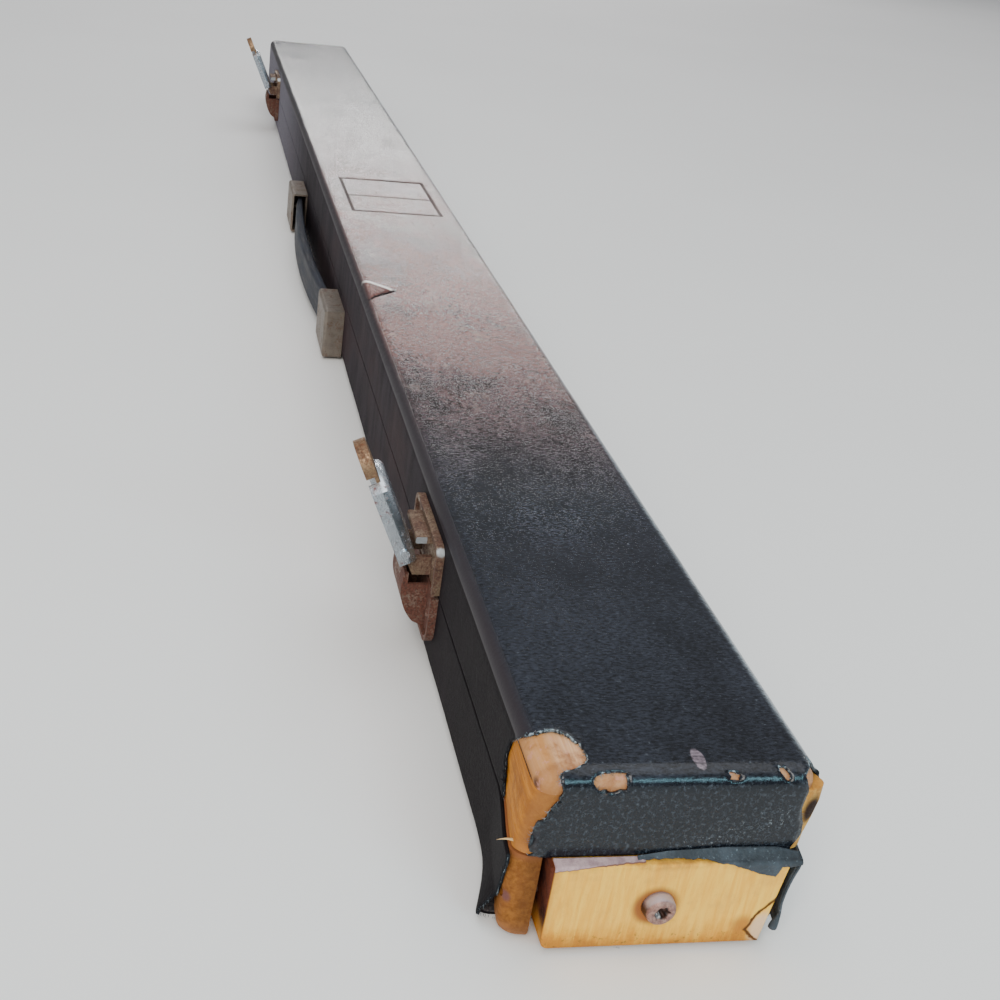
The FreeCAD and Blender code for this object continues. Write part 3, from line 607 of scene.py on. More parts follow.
def end_board_wood():
    """Yellow board, orange and brown towards its foot, with a split lower back corner."""
    w = Wood("end_board_wood", "ffc954", "f2ae3e", "z")
    _, y, z = w.xyz()
    w.stain(w.ramp(w.mottle, 0.5, 0.66), "d99c4a", 0.4)
    low = w.mottled(z, 11.0, 15.0, 7.0)
    w.stain(w.times(low, w.ramp(w.grain, 0.3, 0.6, 0.5, 1.0)), "cd8428")
    foot = w.mottled(z, 8.0, 9.4, 5.2)
    w.stain(foot, "a2662a", 0.8)
    w.stain(w.mottled(y, 6.0, -17.0, -20.5), "c27b30", 0.7)
    specks = w.times(w.ramp(w.noise(0.8, 6.0, 0.7), 0.56, 0.66), w.ramp(z, 8.0, 3.0))
    w.stain(specks, "6d5126", 0.7)
    w.stain(w.times(w.ramp(z, 20.8, 22.6), w.ramp(w.mottle, 0.4, 0.7)), "8c5630", 0.5)
    w.stain(w.near_point((422.4, 18.6, 6.5), 0.8, 3.6), "b4722f", 0.8)
    w.stain(w.near_point((422.4, 22.6, 5.6), 1.4, 3.2, (1, 1, 0.6)), "e6c2a2", 0.8)
    for a, b in zip(BOARD_SPLIT, BOARD_SPLIT[1:]):
        w.crack(w.near_line(y, z, a, b, 0.5, 1.2), "5d3714")
    w.stain(w.near_point(SCREW_STAIN, 3.6, 5.6), "a06434")
    side = w.ramp(y, -22.35, -22.75)
    w.stain(side, "5a2a18")
    w.stain(w.times(side, w.ramp(w.mottle, 0.45, 0.6)), "35170f")
    return w.done()


def front_board_wood():
    """Tray front board: orange-brown, pinkish at its foot, stained at a nail."""
    w = Wood("front_board_wood", "96602a", "76471b", "x")
    x, _, z = w.xyz()
    w.stain(w.mottled(z, 6.0, 9.5, 4.0), "a87454", 0.6)
    w.stain(w.ramp(w.mottle, 0.52, 0.68), "7d4a22", 0.55)
    w.stain(w.near_point(NAIL_STAIN, 1.2, 2.0), "6b4544", 0.85)
    w.stain(w.ramp(z, 20.8, 22.6), "8a5430")
    w.stain(w.ramp(x, 418.4, 419.4), "4a2a18", 0.5)
    return w.done()


def lid_front_wood():
    """Orange board, dirty at its end, with the open joint along its top."""
    w = Wood("lid_front_wood", "cc8632", "a9671f", "x")
    x, _, z = w.xyz()
    w.stain(w.ramp(w.mottle, 0.5, 0.68), "8a5522", 0.6)
    w.stain(w.mottled(x, 4.0, 417.5, 420.5), "8d5c34", 0.8)
    w.stain(w.times(w.ramp(z, 26.5, 24.0), w.ramp(w.mottle, 0.4, 0.6)), "b07238")
    w.stain(w.ramp(w.noise(1.2, 6.0, 0.7), 0.6, 0.7), "5a3a18", 0.6)
    w.crack(w.times(w.ramp(z, 37.35, 37.65), w.ramp(x, 415.6, 413.6)), "5a3a24")
    return w.done()


def lid_top_wood():
    """Pale pinkish board, browned and stained at its worn corner."""
    w = Wood("lid_top_wood", "e6bb95", "cb9566", "x")
    x, y, z = w.xyz()
    w.stain(w.mottled(z, 3.0, 41.4, 39.4), "a26a3c", 0.75)
    w.stain(w.ramp(w.mottle, 0.48, 0.66), "8a5230", 0.75)
    w.stain(w.mottled(y, 5.0, -18.5, -22.5), "b97c3a", 0.6)
    w.stain(w.mottled(x, 4.0, 416.5, 419.0), "9a6842", 0.6)
    w.stain(w.near_point((416.5, -26.6, 38.5), 0.8, 1.8), "4c3026")
    w.stain(w.ramp(w.noise(0.5, 5.0, 0.6), 0.56, 0.66), "cf9488", 0.5)
    w.crack(w.times(w.ramp(z, 38.05, 37.75), w.ramp(x, 415.6, 413.6)), "5a3a24")
    return w.done()


def lid_back_wood():
    """Broken and swollen at its near end, with a dark hollow."""
    w = Wood("lid_back_wood", "dcab5c", "bc823a", "x")
    w.stain(w.ramp(w.mottle, 0.5, 0.7), "7a4a1e", 0.6)
    w.crack(w.near_point((419.6, 28.4, 32.5), 1.5, 3.0, (1, 1, 0.6)))
    return w.done()


def plain_wood(name, pale, dark, stain, axis):
    w = Wood(name, pale, dark, axis)
    w.stain(w.ramp(w.mottle, 0.5, 0.7), stain, 0.6)
    return w.done()


def corner_and_lip(s):
    """Where the lid brackets' plating is painted bright, partly rubbed plating and partly a painted
    highlight: a plate corner and the roof's near lip.
    """
    _, y, z = s.xyz()
    corners = [s.near_point((x, -29.4, 36.2), 0.9, 2.4) for x in (328.0, -295.2)]
    normal = s.node("ShaderNodeNewGeometry").outputs["Normal"]
    facing_near = s.node("ShaderNodeSeparateXYZ", {0: normal}).outputs[0]
    # The lip is brightened only on faces turned to the near end, as a painted highlight.
    lip = s.times(s.ramp(facing_near, 0.6, 0.8), s.ramp(z, 30.0, 31.0), s.ramp(y, -31.0, -31.6))
    return s.ramp(s.plus(*corners, lip), 0.1, 0.9, 0.0, 0.75)


def rusty(name, metal, rust, amount, roughness=0.45, metallic=0.85, bright_places=None, spots=None):
    """Plated steel, rusting: amount from 0 (bright) to 1 (all rust); spots is their noise scale."""
    s = Shader(name)
    cloud = s.plus(s.times(s.noise(0.16, 8.0, 0.75), 0.55), s.times(s.noise(1.5, 6.0, 0.7), 0.45))
    edge = 0.72 - 0.42 * amount
    if spots:
        cloud, edge = s.noise(spots, 3.0, 0.5), 0.64
    rusted = s.ramp(cloud, edge - 0.07, edge + 0.09)
    tone = s.mix(s.ramp(s.noise(1.8, 6.0, 0.7), 0.35, 0.7), rust, "33211b")
    tone = s.mix(s.ramp(s.noise(0.9, 6.0, 0.65), 0.55, 0.78, 0.0, 0.7), tone, "957058")
    tarnish = s.ramp(s.noise(0.4, 6.0, 0.7), 0.4, 0.7, 0.0, 0.6)
    bright = s.mix(tarnish, metal, tuple(c * 0.55 for c in rgb(metal)))
    if bright_places:
        # Rubbed plating and painted highlight: less rust and a bright colour there.
        rubbed_and_highlit = bright_places(s)
        rusted = s.times(rusted, s.ramp(rubbed_and_highlit, 0.0, 1.0, 1.0, 0.1))
        bright = s.mix(rubbed_and_highlit, bright, "c6d2da")
    s.colour = s.mix(rusted, bright, tone)
    relief = s.plus(s.noise(2.4, 8.0, 0.75), s.times(rusted, 0.8))
    rough = s.ramp(rusted, 0.0, 1.0, roughness, 0.82)
    return s.finish(rough, s.bump(relief, 0.5, 0.00009), s.ramp(rusted, 0.0, 1.0, metallic, 0.12))


def felt(name, colour):
    s = Shader(name)
    fibre = s.noise(3.0, 8.0, 0.75, None, 1.5)
    worn = s.ramp(s.noise(0.05, 5.0, 0.6), 0.45, 0.7, 0.0, 0.5)
    s.colour = s.mix(s.ramp(fibre, 0.3, 0.7), colour, tuple(c * 1.8 for c in rgb(colour)))
    s.stain(worn, tuple(0.6 * c + 0.03 for c in rgb(colour)))
    return s.finish(0.95, s.bump(fibre, 0.6, 0.0004), sheen=0.4)


def strap_plastic():
    """Dark blue-grey moulded strap, dull, with fine lines drawn along it."""
    s = Shader("strap_plastic")
    worn = s.noise(0.2, 6.0, 0.6, s.stretch(0.25, 1.0, 1.0))
    lines = s.noise(1.6, 4.0, 0.6, s.stretch(0.03, 1.0, 1.0))
    s.colour = s.mix(s.ramp(worn, 0.35, 0.75), "1b1c24", "2c303b")
    s.stain(s.ramp(lines, 0.52, 0.72, 0.0, 0.45), "4a5160")
    return s.finish(s.ramp(worn, 0.3, 0.7, 0.5, 0.7), s.bump(lines, 0.5, 0.0003), specular=0.3)


def paint(material, *starts):
    """Give a material to the CAD nodes whose names begin in one of these ways."""
    for name in NODES:
        if name.startswith(starts):
            NODES[name].data.materials.clear()
            NODES[name].data.materials.append(material)


def dress_cad_nodes():
    paint(plain_wood("pale_wood", "e3bd77", "cf9d52", "b06a26", "y"),
          "tray_far_end_board", "lid_far_end_board", "butt_stop_block", "tray_bottom_board")
    paint(plain_wood("ochre_wood", "c98d3f", "a96c28", "7a4a1e", "x"), "tray_back_board")
    paint(plain_wood("lid_end_wood", "b98350", "8f5f36", "6d452a", "y"), "lid_near_end_board")
    paint(end_board_wood(), "tray_near_end_board")
    paint(lid_top_wood(), "lid_top_board")
    paint(felt("green_felt", "1f4a30"), "tray_lining", "lid_lining", "cue_cradle_", "lid_pad")
    paint(rusty("keeper_rust", "8f7f72", "6a3e31", 0.72, 0.5), "latch_tray_")
    paint(rusty("lid_bracket_bronze", "94806a", "64463a", 0.58, 0.42, 0.85, corner_and_lip),
          "latch_lid_")
    paint(rusty("hasp_bronze", "9c7f63", "74492e", 0.52, 0.42), "latch_hasp")
    paint(rusty("cover_nickel", "d2dae2", "742f22", 0.33, 0.26, 0.95, None, 0.55),
          "latch_cover", "latch_pin")
    paint(rusty("spring_wire", "6d6a66", "4a3428", 0.3), "latch_spring", "handle_core")
    paint(rusty("cap_metal", "7f766d", "7a5640", 0.38, 0.5, 0.7),
          "handle_cap", "handle_plate", "handle_studs", "handle_rivets")
    paint(rusty("hinge_metal", "8a8278", "5f4030", 0.3), "hinge_")
    paint(rusty("nail_rust", "5a4a48", "4a2c28", 0.9), "tray_corner_nails")


# ---- the near corners, where the joints have opened ----
BOARD_INNER_Y = 23.5 * MM
BOARD_THICK = 4.2 * MM


def sprung(points, side, start, end):
    """How far each point follows a board's spring: fully at its end, less on its inner face."""
    along = smoothstep(points[:, 0], start * MM, end * MM)
    outer = np.clip((side * points[:, 1] - BOARD_INNER_Y) / BOARD_THICK, 0.3, 1)
    return along * outer


def tray_splay(points):
    height = 2.4 * MM + 0.3 * MM * np.clip(points[:, 2] / (22.75 * MM), 0, 1)
    return height * sprung(points, -1, 396, 419)


def lid_splay(points):
    height = 2.2 * MM * np.clip((38 * MM - points[:, 2]) / (14.75 * MM), 0, 1) ** 0.8
    return height * sprung(points, -1, 398, 418)


def back_splay(points):
    height = 1.2 * MM + 1.6 * MM * smoothstep(points[:, 2], 24 * MM, 34 * MM)
    height = height * (1 - smoothstep(points[:, 2], 38 * MM, 40 * MM))
    return -height * sprung(points, 1, 409, 418)


def warped_board(name, node, splay_of, material, body):
    """A copy of a CAD board's shape with its near end sprung outward."""
    bm = bmesh.new()
    bm.from_mesh(NODES[node].data)
    for step in range(11):
        place = ((396 + 2.2 * step) * MM, 0, 0)
        bmesh.ops.bisect_plane(bm, geom=bm.verts[:] + bm.edges[:] + bm.faces[:], dist=1e-7,
                               plane_co=place, plane_no=(1, 0, 0))
    for height in (6, 11, 16, 20, 26, 30, 34):
        near = [f for f in bm.faces if f.calc_center_median().x > 395 * MM]
        edges = list({e for f in near for e in f.edges})
        corners = list({v for f in near for v in f.verts})
        bmesh.ops.bisect_plane(bm, geom=edges + near + corners, dist=1e-7,
                               plane_co=(0, 0, height * MM), plane_no=(0, 0, 1))
    points = np.array([v.co for v in bm.verts])
    shift = splay_of(points)
    near_end = smoothstep(points[:, 0], 415 * MM, 418 * MM)
    ragged_end = 0.25 * MM * bump_map(points, 0.0022, 11.0) * near_end
    for v, dy, dx in zip(bm.verts, shift, ragged_end):
        v.co.y -= dy
        v.co.x += dx
    mesh = bpy.data.meshes.new(name)
    bm.to_mesh(mesh)
    bm.free()
    fit(add_object(name, mesh), material, body, node)


def make_splinter(material):
    """A sliver sprung from the foot of the lid's front board."""
    start = Vector((416.1, -29.6, 24.3)) * MM
    end = Vector((416.1, -32.9, 24.4)) * MM
    verts = []
    stations = 7
    for n in range(stations):
        t = n / (stations - 1)
        centre = start.lerp(end, t) + Vector((0, 0, 0.25 * MM * math.sin(3 * t)))
        width = 0.42 * MM * (1.05 - t)
        for turn in range(5):
            angle = turn * 2 * math.pi / 5
            verts.append(centre + Vector((math.cos(angle), 0, 0.6 * math.sin(angle))) * width)
    faces = grid_faces(stations, 5, closed=True)
    faces.append([5 * (stations - 1) + n for n in range(5)])
    fit(new_object("lid_splinter", verts, faces), material, "lid")


# ---- lid covering ----
NEAR_FRONT_TEAR = [(403.0, -28.5, 23), (401.0, -28.5, 27.5), (399.6, -28.5, 31.5), (401.4, -28.5, 36),
                   (404.6, -28.2, 39.6), (406.4, -26.4, 42), (406.2, -22.4, 42.5), (407.6, -20, 42.5),
                   (411, -18.0, 42.5), (415, -17.8, 42.2), (416.8, -20.2, 41.8), (417.4, -22.9, 41.2),
                   (419.6, -22.9, 38.8), (420, -23.9, 36.4), (420, -25.0, 33.7), (419.8, -26.3, 31.0),
                   (419.7, -26.7, 28.0), (419.8, -26.2, 23), (424, -30, 18), (414, -32, 18)]
NEAR_BACK_TEAR = [(421, 25.6, 20), (420, 25.9, 25), (420, 26.4, 29), (420, 25.8, 33.5),
                  (420, 25.2, 37.5), (419, 25.0, 41.6), (417.4, 26.2, 42.4), (415.2, 27.6, 42),
                  (414.6, 28.5, 38.5), (415.6, 28.5, 34), (414.2, 28.5, 29.5), (415.4, 28.5, 25),
                  (415.4, 28.5, 20)]
CORNER_CHIP = [(420.8, -18.3, 42.5), (419.2, -16.5, 42.5), (418.5, -13.4, 42.5),
               (419.2, -11.6, 42.5), (422.6, -12.2, 42.5), (424.6, -14.6, 42.5),
               (424.8, -17.2, 42.5), (423.2, -18.5, 42.5)]
SMALL_CHIP = [(418.2, 9.1, 42.3), (418.9, 10.3, 42.3), (421.6, 9.9, 42.3), (420.8, 8.6, 42.3)]
SLIT = [(417.3, 19.6, 42.3), (417.3, 20.5, 42.3), (420.2, 20.8, 42.3), (422.0, 19.6, 42.3),
        (419.8, 19.0, 42.3)]
MARK_X = (-14.0, 42.0)
MARK_Y = (-19.0, 20.0)
MARK_DIVIDER = 16.0
FOLD = [(136.0, -29.5), (162.0, -29.5), (148.5, -15.5)]
# The fold's far edge, where a painted highlight lies.
FOLD_HIGHLIGHT_EDGE = [(140.5, -27.0), (148.8, -17.8)]
TOP_JOINT_Z = 38.6 * MM


def debossed_mark(points):
    """A plain pressed rectangle: a fine groove round a slightly sunk panel."""
    x = points[:, 0] / MM
    y = points[:, 1] / MM
    outside = np.maximum(np.maximum(MARK_X[0] - x, x - MARK_X[1]),
                         np.maximum(MARK_Y[0] - y, y - MARK_Y[1]))
    divider = np.abs(x - MARK_DIVIDER)
    groove = np.exp(-(outside / 0.8) ** 2) + 0.4 * np.exp(-(divider / 0.8) ** 2) * (outside < 0)
    panel = smoothstep(-outside, 0.0, 1.0)
    return -(0.22 * groove + 0.08 * panel) * MM


def raised_fold(points):
    """A three-cornered pucker at the front edge of the lid's top."""
    x = points[:, 0] / MM
    y = points[:, 1] / MM
    inside = np.full(len(points), np.inf)
    for a, b in zip(FOLD, FOLD[1:] + FOLD[:1]):
        along = np.array(b) - np.array(a)
        along /= np.linalg.norm(along)
        inside = np.minimum(inside, (y - a[1]) * along[0] - (x - a[0]) * along[1])
    body = smoothstep(inside, 0.0, 0.9)
    slope = np.clip(1.0 - (x - 138.0) / 34.0, 0.3, 1.0)
    inward = smoothstep(y, -28.3, -25.5)
    return 1.0 * MM * body * slope * inward


def make_lid_covering(top, front, threads):
    xs = spaced((-420, 1.0), (-410, 3.0), (-20, 0.6), (-8, 2.5), (12, 0.8), (20, 2.5), (36, 0.6),
                (48, 2.5), (128, 0.7), (168, 3.0), (376, 1.2), (392, 0.5), (420, 0.5))
    ys = spaced((-28.5, 0.55), (-12, 1.1), (17, 0.6), (28.5, 0.6))
    zs = spaced((23.25, 0.6), (42.5, 0.6))
    points, quads = lattice_skin(xs, ys, zs, ("z+", "y-", "y+", "x-", "x+"))
    points, normals = rounded(points, NEAR_X)
    skin = Skin(points, normals, quads)
    skin.tear(ragged(NEAR_FRONT_TEAR, 0.7 * MM, 0.35 * MM, 3.0), (1, -1, 1))
    skin.tear(ragged(NEAR_BACK_TEAR, 0.7 * MM, 0.45 * MM, 9.0), (1, 1, 0.7))
    for chip, seed in ((CORNER_CHIP, 2.0), (SMALL_CHIP, 5.0), (SLIT, 6.0)):
        middle = Vector(np.mean(chip, axis=0) * MM)
        skin.tear(ragged(chip, 0.5 * MM, 0.3 * MM, seed), EYE - middle, 0.8 * MM)
    p = skin.points
    rise = 0.10 * MM * bump_map(p, 0.03, 1.0) + 0.05 * MM * bump_map(p, 0.008, 2.0)
    joint = np.exp(-((p[:, 2] - TOP_JOINT_Z) / (0.45 * MM)) ** 2) * (p[:, 1] < FRONT_Y + 0.6 * MM)
    rise += 0.35 * MM * skin.wear * bump_map(p, 0.004, 7.0) - 0.16 * MM * joint
    on_top = skin.normals[:, 2] > 0.8
    rise += np.where(on_top, debossed_mark(p) + raised_fold(p), 0)
    skin.points = p + skin.normals * rise[:, None]
    skin.points[:, 1] -= lid_splay(skin.points) * (skin.points[:, 1] < -26 * MM)
    skin.points[:, 1] -= back_splay(skin.points) * smoothstep(skin.points[:, 1], 25 * MM, 27 * MM)
    obj = skin.build("lid_leathercloth", top, "lid", "lid_covering")
    obj.data.materials.append(front)
    for face in obj.data.polygons:
        side = abs(face.center.y) > 28.2 * MM
        face.material_index = 1 if side and face.center.z < TOP_JOINT_Z else 0
    fray("lid_torn_threads", skin, 1.3 * MM, 4, threads, "lid")


# ---- tray covering ----
TRAY_NEAR_TEAR = [(419.4, -28.5, 24), (418.6, -28.5, 20.5), (417.0, -28.5, 16), (415.2, -28.5, 10.5),
                  (413.6, -28.5, 5.5), (412.8, -28.5, 2.4), (413.2, -27, -1), (430, -27, -4),
                  (430, -28.5, 25)]


def cloth_flare(points):
    """The foot of the cloth stands away from the front board towards its torn end."""
    t = np.clip((points[:, 0] - 385 * MM) / (27 * MM), 0, 1)
    low = np.clip((10 * MM - points[:, 2]) / (10 * MM), 0, 1)
    return 4.0 * MM * t ** 2.2 * low * (points[:, 1] < -24 * MM)


def make_tray_covering(material, backing, threads):
    xs = spaced((-420, 1.0), (-410, 3.0), (376, 1.2), (392, 0.5), (422, 0.5))
    ys = spaced((-28.5, 0.6), (-20, 2.0), (20, 0.7), (28.5, 0.7))
    zs = spaced((0, 0.6), (22.75, 0.6))
    points, quads = lattice_skin(xs, ys, zs, ("z-", "y-", "y+", "x-"))
    points, normals = rounded(points, NEAR_X + 20 * MM)
    skin = Skin(points, normals, quads)
    skin.tear(ragged(TRAY_NEAR_TEAR, 0.7 * MM, 0.3 * MM, 5.0), (0.3, -1, -0.25))
    flat_under = (points[:, 2] < 1.0 * MM) & (points[:, 0] > 411.5 * MM)
    back_end = (points[:, 1] > 20 * MM) & (points[:, 0] > 416.4 * MM)
    gone = flat_under | back_end
    skin.quads = [q for q in skin.quads if not any(gone[v] for v in q)]
    p = skin.points
    rise = 0.10 * MM * bump_map(p, 0.03, 4.0) + 0.05 * MM * bump_map(p, 0.008, 5.0)
    skin.points = p + skin.normals * rise[:, None]
    skin.points[:, 1] -= (tray_splay(skin.points) + cloth_flare(skin.points)) * (p[:, 1] < -24 * MM)
    skin.points[:, 2] = np.maximum(skin.points[:, 2], 0.0)
    skin.build("tray_leathercloth", material, "tray", "tray_covering", backing)
    fray("tray_torn_threads", skin, 1.1 * MM, 8, threads, "tray")


# ---- scraps on the near end board ----
BEND = 0.6
SLATE_REACH = ([-6, 2, 8, 13, 19, 22.4, 23.0, 26, 28.2],
               [0.8, 1.1, 1.4, 2.8, 5.2, 6.1, 3.6, 3.6, 2.8])
SLATE_LIFT = ([-6, 0, 12, 22, 28], [0.3, 1.3, 1.9, 1.7, 0.2])
STRIP_REACH = ([-22.6, -19, -13, -4.5], [3.3, 2.9, 2.1, 1.3])
STRIP_LIFT = ([0], [0.25])


def sheet_rows(name, rows, material, wear, thickness):
    """A thin sheet through rows of 3D points."""
    points = [p for row in rows for p in row]
    obj = new_object(name, points, grid_faces(len(rows), len(rows[0])))
    store_values(obj, "wear", np.array(wear).ravel())
    thicken(obj, thickness)
    fit(obj, material, "tray")


def over_the_edge(y, distance, lift, ledge_x, out):
    """Point of a sheet lying on the ledge and bent down over the board's face."""
    bend_x = END_FACE_X / MM + out - BEND
    bend_z = LEDGE_Z / MM + out - BEND
    flat = bend_x - ledge_x
    angle = (distance - flat) / BEND
    if angle < 0:
        raised = lift * (1 - distance / flat) ** 1.5
        return Vector((ledge_x + distance, y, bend_z + BEND + raised)) * MM
    if angle < math.pi / 2:
        return Vector((bend_x + BEND * math.sin(angle), y, bend_z + BEND * math.cos(angle))) * MM
    return Vector((bend_x + BEND, y, bend_z - BEND * (angle - math.pi / 2))) * MM


def scrap(name, y0, y1, reach, lift, ledge_x, material, seed, out):
    """Scrap over the board's top edge; reach and lift are tables of y and how far it comes."""
    rows = []
    wear = []
    count = int((y1 - y0) / 0.45)
    for i in range(count + 1):
        y = y0 + (y1 - y0) * i / count
        nibble = 0.28 * noise.noise(Vector((y * 0.9, seed, 0)))
        nibble += 0.15 * noise.noise(Vector((y * 3.1, seed, 4)))
        length = max(0.5, float(np.interp(y, *reach)) + nibble)
        raised = float(np.interp(y, *lift))
        along = [length * n / 14 for n in range(15)]
        rows.append([over_the_edge(y, d, raised, ledge_x, out) for d in along])
        wear.append([max(0.0, 1 - (length - d) / 0.5) for d in along])
    sheet_rows(name, rows, material, wear, 0.45 * MM)


def make_scraps(slate, strip):
    """Slate cloth along the back half of the ledge, pink strip along the front part."""
    scrap("end_cloth_scrap", -6.0, 27.2, SLATE_REACH, SLATE_LIFT, 420.35, slate, 3.0, 0.5)
    scrap("end_backing_strip", -22.6, -4.5, STRIP_REACH, STRIP_LIFT, 420.2, strip, 8.0, 0.25)


def make_hanging_flap(material):
    """Strip of cloth at the back corner, curled into a roll at its lower end."""
    rows = []
    count = 44
    for i in range(count + 1):
        t = i / count
        z = 23.4 - 18.6 * t
        y = 27.2 - 0.9 * math.sin(2.4 * t) + 0.2 * math.sin(9 * t)
        wave = 0.35 * noise.noise(Vector((t * 5, 1.3, 0)))
        roll = 0.25 + 0.65 * smoothstep(t, 0.72, 1.0)
        near_x = 422.3 - 0.5 * t + wave
        row = []
        for n in range(15):
            u = n / 7
            angle = max(0.0, u - 1) * 1.5 * math.pi
            flat = 1 - min(u, 1.0)
            row.append(Vector((near_x - (near_x - 417.0) * flat + roll * math.sin(angle),
                               y + 0.8 * flat - roll * (1 - math.cos(angle)), z)) * MM)
        rows.append(row)
    sheet_rows("back_corner_flap", rows, material, np.zeros((count + 1, 15)), 0.5 * MM)


# ---- end screw ----
SCREW_PROFILE = [(0.0, 1.1), (1.0, 1.0), (1.3, 1.6), (1.5, 2.5), (1.8, 2.7), (2.4, 2.75),
                 (2.85, 2.5), (3.1, 2.0), (3.25, 0.8), (3.3, 0.0), (1.75, -0.3), (1.75, -6.0),
                 (1.75, -12.0), (1.75, -18.0), (1.75, -24.0), (0.3, -27.0), (0.0, -27.2)]


def screw_metal():
    """Rusted side, dull pinkish rim and a dark star recess with bright specks."""
    s = Shader("screw_metal")
    x, _, z = s.xyz()
    fine = s.noise(1.2, 6.0, 0.7)
    face = s.mix(s.ramp(fine, 0.35, 0.65), "7d5a53", "a98478")
    side = s.mix(s.ramp(s.plus(z, s.times(fine, 2.0)), 14.0, 16.0), "3d221a", "aea1aa")
    s.colour = s.mix(s.ramp(x, 424.9, 424.3), face, side)
    s.stain(s.near_point((424.8, -0.4, 12.8), 1.2, 1.7), "241818")
    specks = s.times(s.near_point((424.2, -1.1, 12.1), 0.5, 1.1), s.ramp(fine, 0.4, 0.5))
    s.stain(specks, "e2e6e9")
    rough = s.ramp(specks, 0.0, 1.0, 0.5, 0.25)
    return s.finish(rough, s.bump(fine, 0.3, 0.0002), s.ramp(specks, 0.0, 1.0, 0.4, 0.9))


def make_end_screw(material):
    """Worn head with a star recess, leaning a little to one side, on a plain shank."""
    middle = (SCREW_LO + SCREW_HI) / 2
    centre = Vector((END_FACE_X, middle.y, middle.z))
    turns = 48
    rows = []
    for radius, height in SCREW_PROFILE:
        tilt = math.radians(5) * float(smoothstep(height, -1.0, 0.6))
        row = []
        for n in range(turns):
            angle = 2 * math.pi * n / turns
            inset = 1 + 0.22 * math.cos(6 * angle) if 0.5 < radius < 1.8 and height > 0 else 1.0
            across = radius * inset
            local = Vector((height, across * math.cos(angle), across * math.sin(angle)))
            turned = Matrix.Rotation(tilt, 3, "Z") @ local
            nibble = 0.05 * noise.noise(local * 1.3)
            row.append(tuple(centre + (turned + turned.normalized() * nibble) * MM))
        rows.append(row)
    points = [p for row in rows for p in row]
    obj = new_object("end_screw_worn", points, grid_faces(len(rows), turns, closed=True))
    fit(obj, material, "tray", "end_screw")


# ---- handle strap ----
def strap_section(half_height, half_thick):
    """Rounded slab section with three shallow grooves along its outer face."""
    ring = []
    count = 40
    for n in range(count):
        angle = 2 * math.pi * n / count
        c, sn = math.cos(angle), math.sin(angle)
        v = half_height * math.copysign(abs(sn) ** 0.35, sn)
        u = half_thick * math.copysign(abs(c) ** 0.5, c)
        if u > 0:
            for place in (-0.62, 0.0, 0.62):
                u -= 0.28 * MM * math.exp(-((v / half_height - place) / 0.09) ** 2)
        ring.append((u, v))
    return ring


def make_strap(material):
    """The strap stands away from the case between its caps and is thickest in the middle."""
    middle = (GRIP_LO + GRIP_HI) / 2
    half = (GRIP_HI - GRIP_LO) / 2
    rows = []
    stations = 110
    for i in range(stations + 1):
        x = GRIP_LO.x + 2 * half.x * i / stations
        bow = 1 - ((x - middle.x) / half.x) ** 2
        thick = (3.0 + 1.9 * bow) * MM
        centre_y = GRIP_HI.y - 3.2 * MM * bow - thick / 2
        sway = 0.12 * MM * noise.noise(Vector((x * 40, 0, 3)))
        section = strap_section(half.z * (0.965 + 0.02 * bow), thick / 2 * 0.97)
        rows.append([(x, centre_y - u, middle.z + v + sway) for u, v in section])
    columns = len(rows[0])
    points = [p for row in rows for p in row]
    faces = grid_faces(len(rows), columns, closed=True)
    faces.append(list(range(columns))[::-1])
    faces.append([stations * columns + n for n in range(columns)])
    fit(new_object("handle_strap", points, faces), material, "strap", "handle_grip")


# ---- stage ----
def make_camera():
    forward = Vector((-0.86851, 0.18611, -0.45939))
    up = Vector((-0.47165, -0.02535, 0.88142))
    right = forward.cross(up)
    data = bpy.data.cameras.new("camera")
    data.sensor_width = 36.0
    data.lens = 46.8
    data.shift_x = 0.0879
    data.shift_y = 0.0072
    data.clip_start = 0.01
    obj = add_object("camera", data)
    rotation = Matrix((right, up, -forward)).transposed().to_4x4()
    obj.matrix_world = Matrix.Translation(EYE) @ rotation
    bpy.context.scene.camera = obj


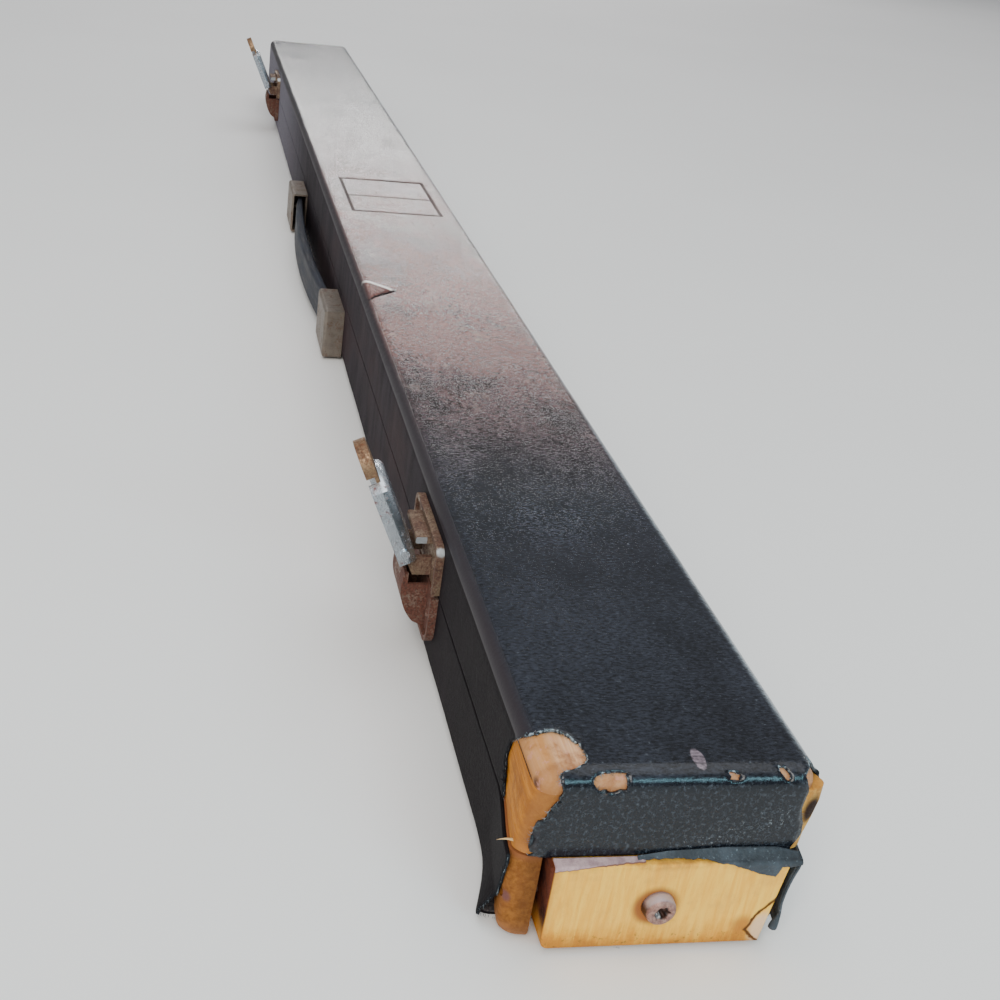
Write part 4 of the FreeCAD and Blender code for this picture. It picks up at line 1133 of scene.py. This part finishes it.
def make_floor():
    s = Shader("floor_paint")
    s.colour = s.mix(s.ramp(s.noise(0.004, 2.0), 0.3, 0.7), (0.86, 0.86, 0.86), (0.88, 0.88, 0.88))
    size = 12.0
    drop = -0.1 * MM
    corners = [(-size, -size, drop), (size, -size, drop), (size, size, drop), (-size, size, drop)]
    floor = new_object("floor", corners, [(0, 1, 2, 3)], smooth=False)
    floor.data.materials.append(s.finish(0.7))


def area_light(name, place, target, size, power, colour=(1, 1, 1)):
    data = bpy.data.lights.new(name, "AREA")
    data.shape = "RECTANGLE"
    data.size, data.size_y = size
    data.energy = power
    data.color = colour
    obj = add_object(name, data)
    obj.location = place
    aim = Vector(target) - Vector(place)
    obj.rotation_euler = aim.to_track_quat("-Z", "Y").to_euler()


def make_lights():
    world = bpy.data.worlds.new("studio")
    world.use_nodes = True
    sky = world.node_tree.nodes["Background"].inputs
    sky["Color"].default_value = (0.95, 0.97, 1.0, 1)
    sky["Strength"].default_value = 0.32
    bpy.context.scene.world = world
    area_light("overhead", (0.1, 0.1, 2.3), (0.1, 0, 0), (3.0, 2.4), 38)
    area_light("key", (1.5, -0.6, 1.1), (0.4, 0, 0), (0.9, 0.9), 24, (1.0, 0.96, 0.89))
    area_light("window", (1.4, 0.52, 0.62), (0.42, 0, 0.04), (0.6, 0.16), 5.0, (0.4, 0.85, 1.0))
    area_light("far_glow", (-2.4, 0.32, 0.62), (-0.1, 0, 0.04), (1.5, 0.07), 8.5, (1.0, 0.98, 0.97))


def main():
    make_camera()
    make_floor()
    make_lights()
    dress_cad_nodes()
    threads = torn_threads()
    slate = slate_cloth()
    make_lid_covering(lid_leathercloth(), front_leathercloth("lid_side_leather"), threads)
    make_tray_covering(front_leathercloth("tray_leather"), cloth_backing(), threads)
    warped_board("tray_front_wood", "tray_front_board", tray_splay, front_board_wood(), "tray")
    warped_board("lid_front_wood", "lid_front_board", lid_splay, lid_front_wood(), "lid")
    warped_board("lid_back_wood", "lid_back_board", back_splay, lid_back_wood(), "lid")
    make_splinter(plain_wood("splinter_wood", "e8cfa6", "c9a878", "a07a4c", "y"))
    make_scraps(slate, backing_strip())
    make_hanging_flap(slate)
    make_strap(strap_plastic())
    make_end_screw(screw_metal())


main()
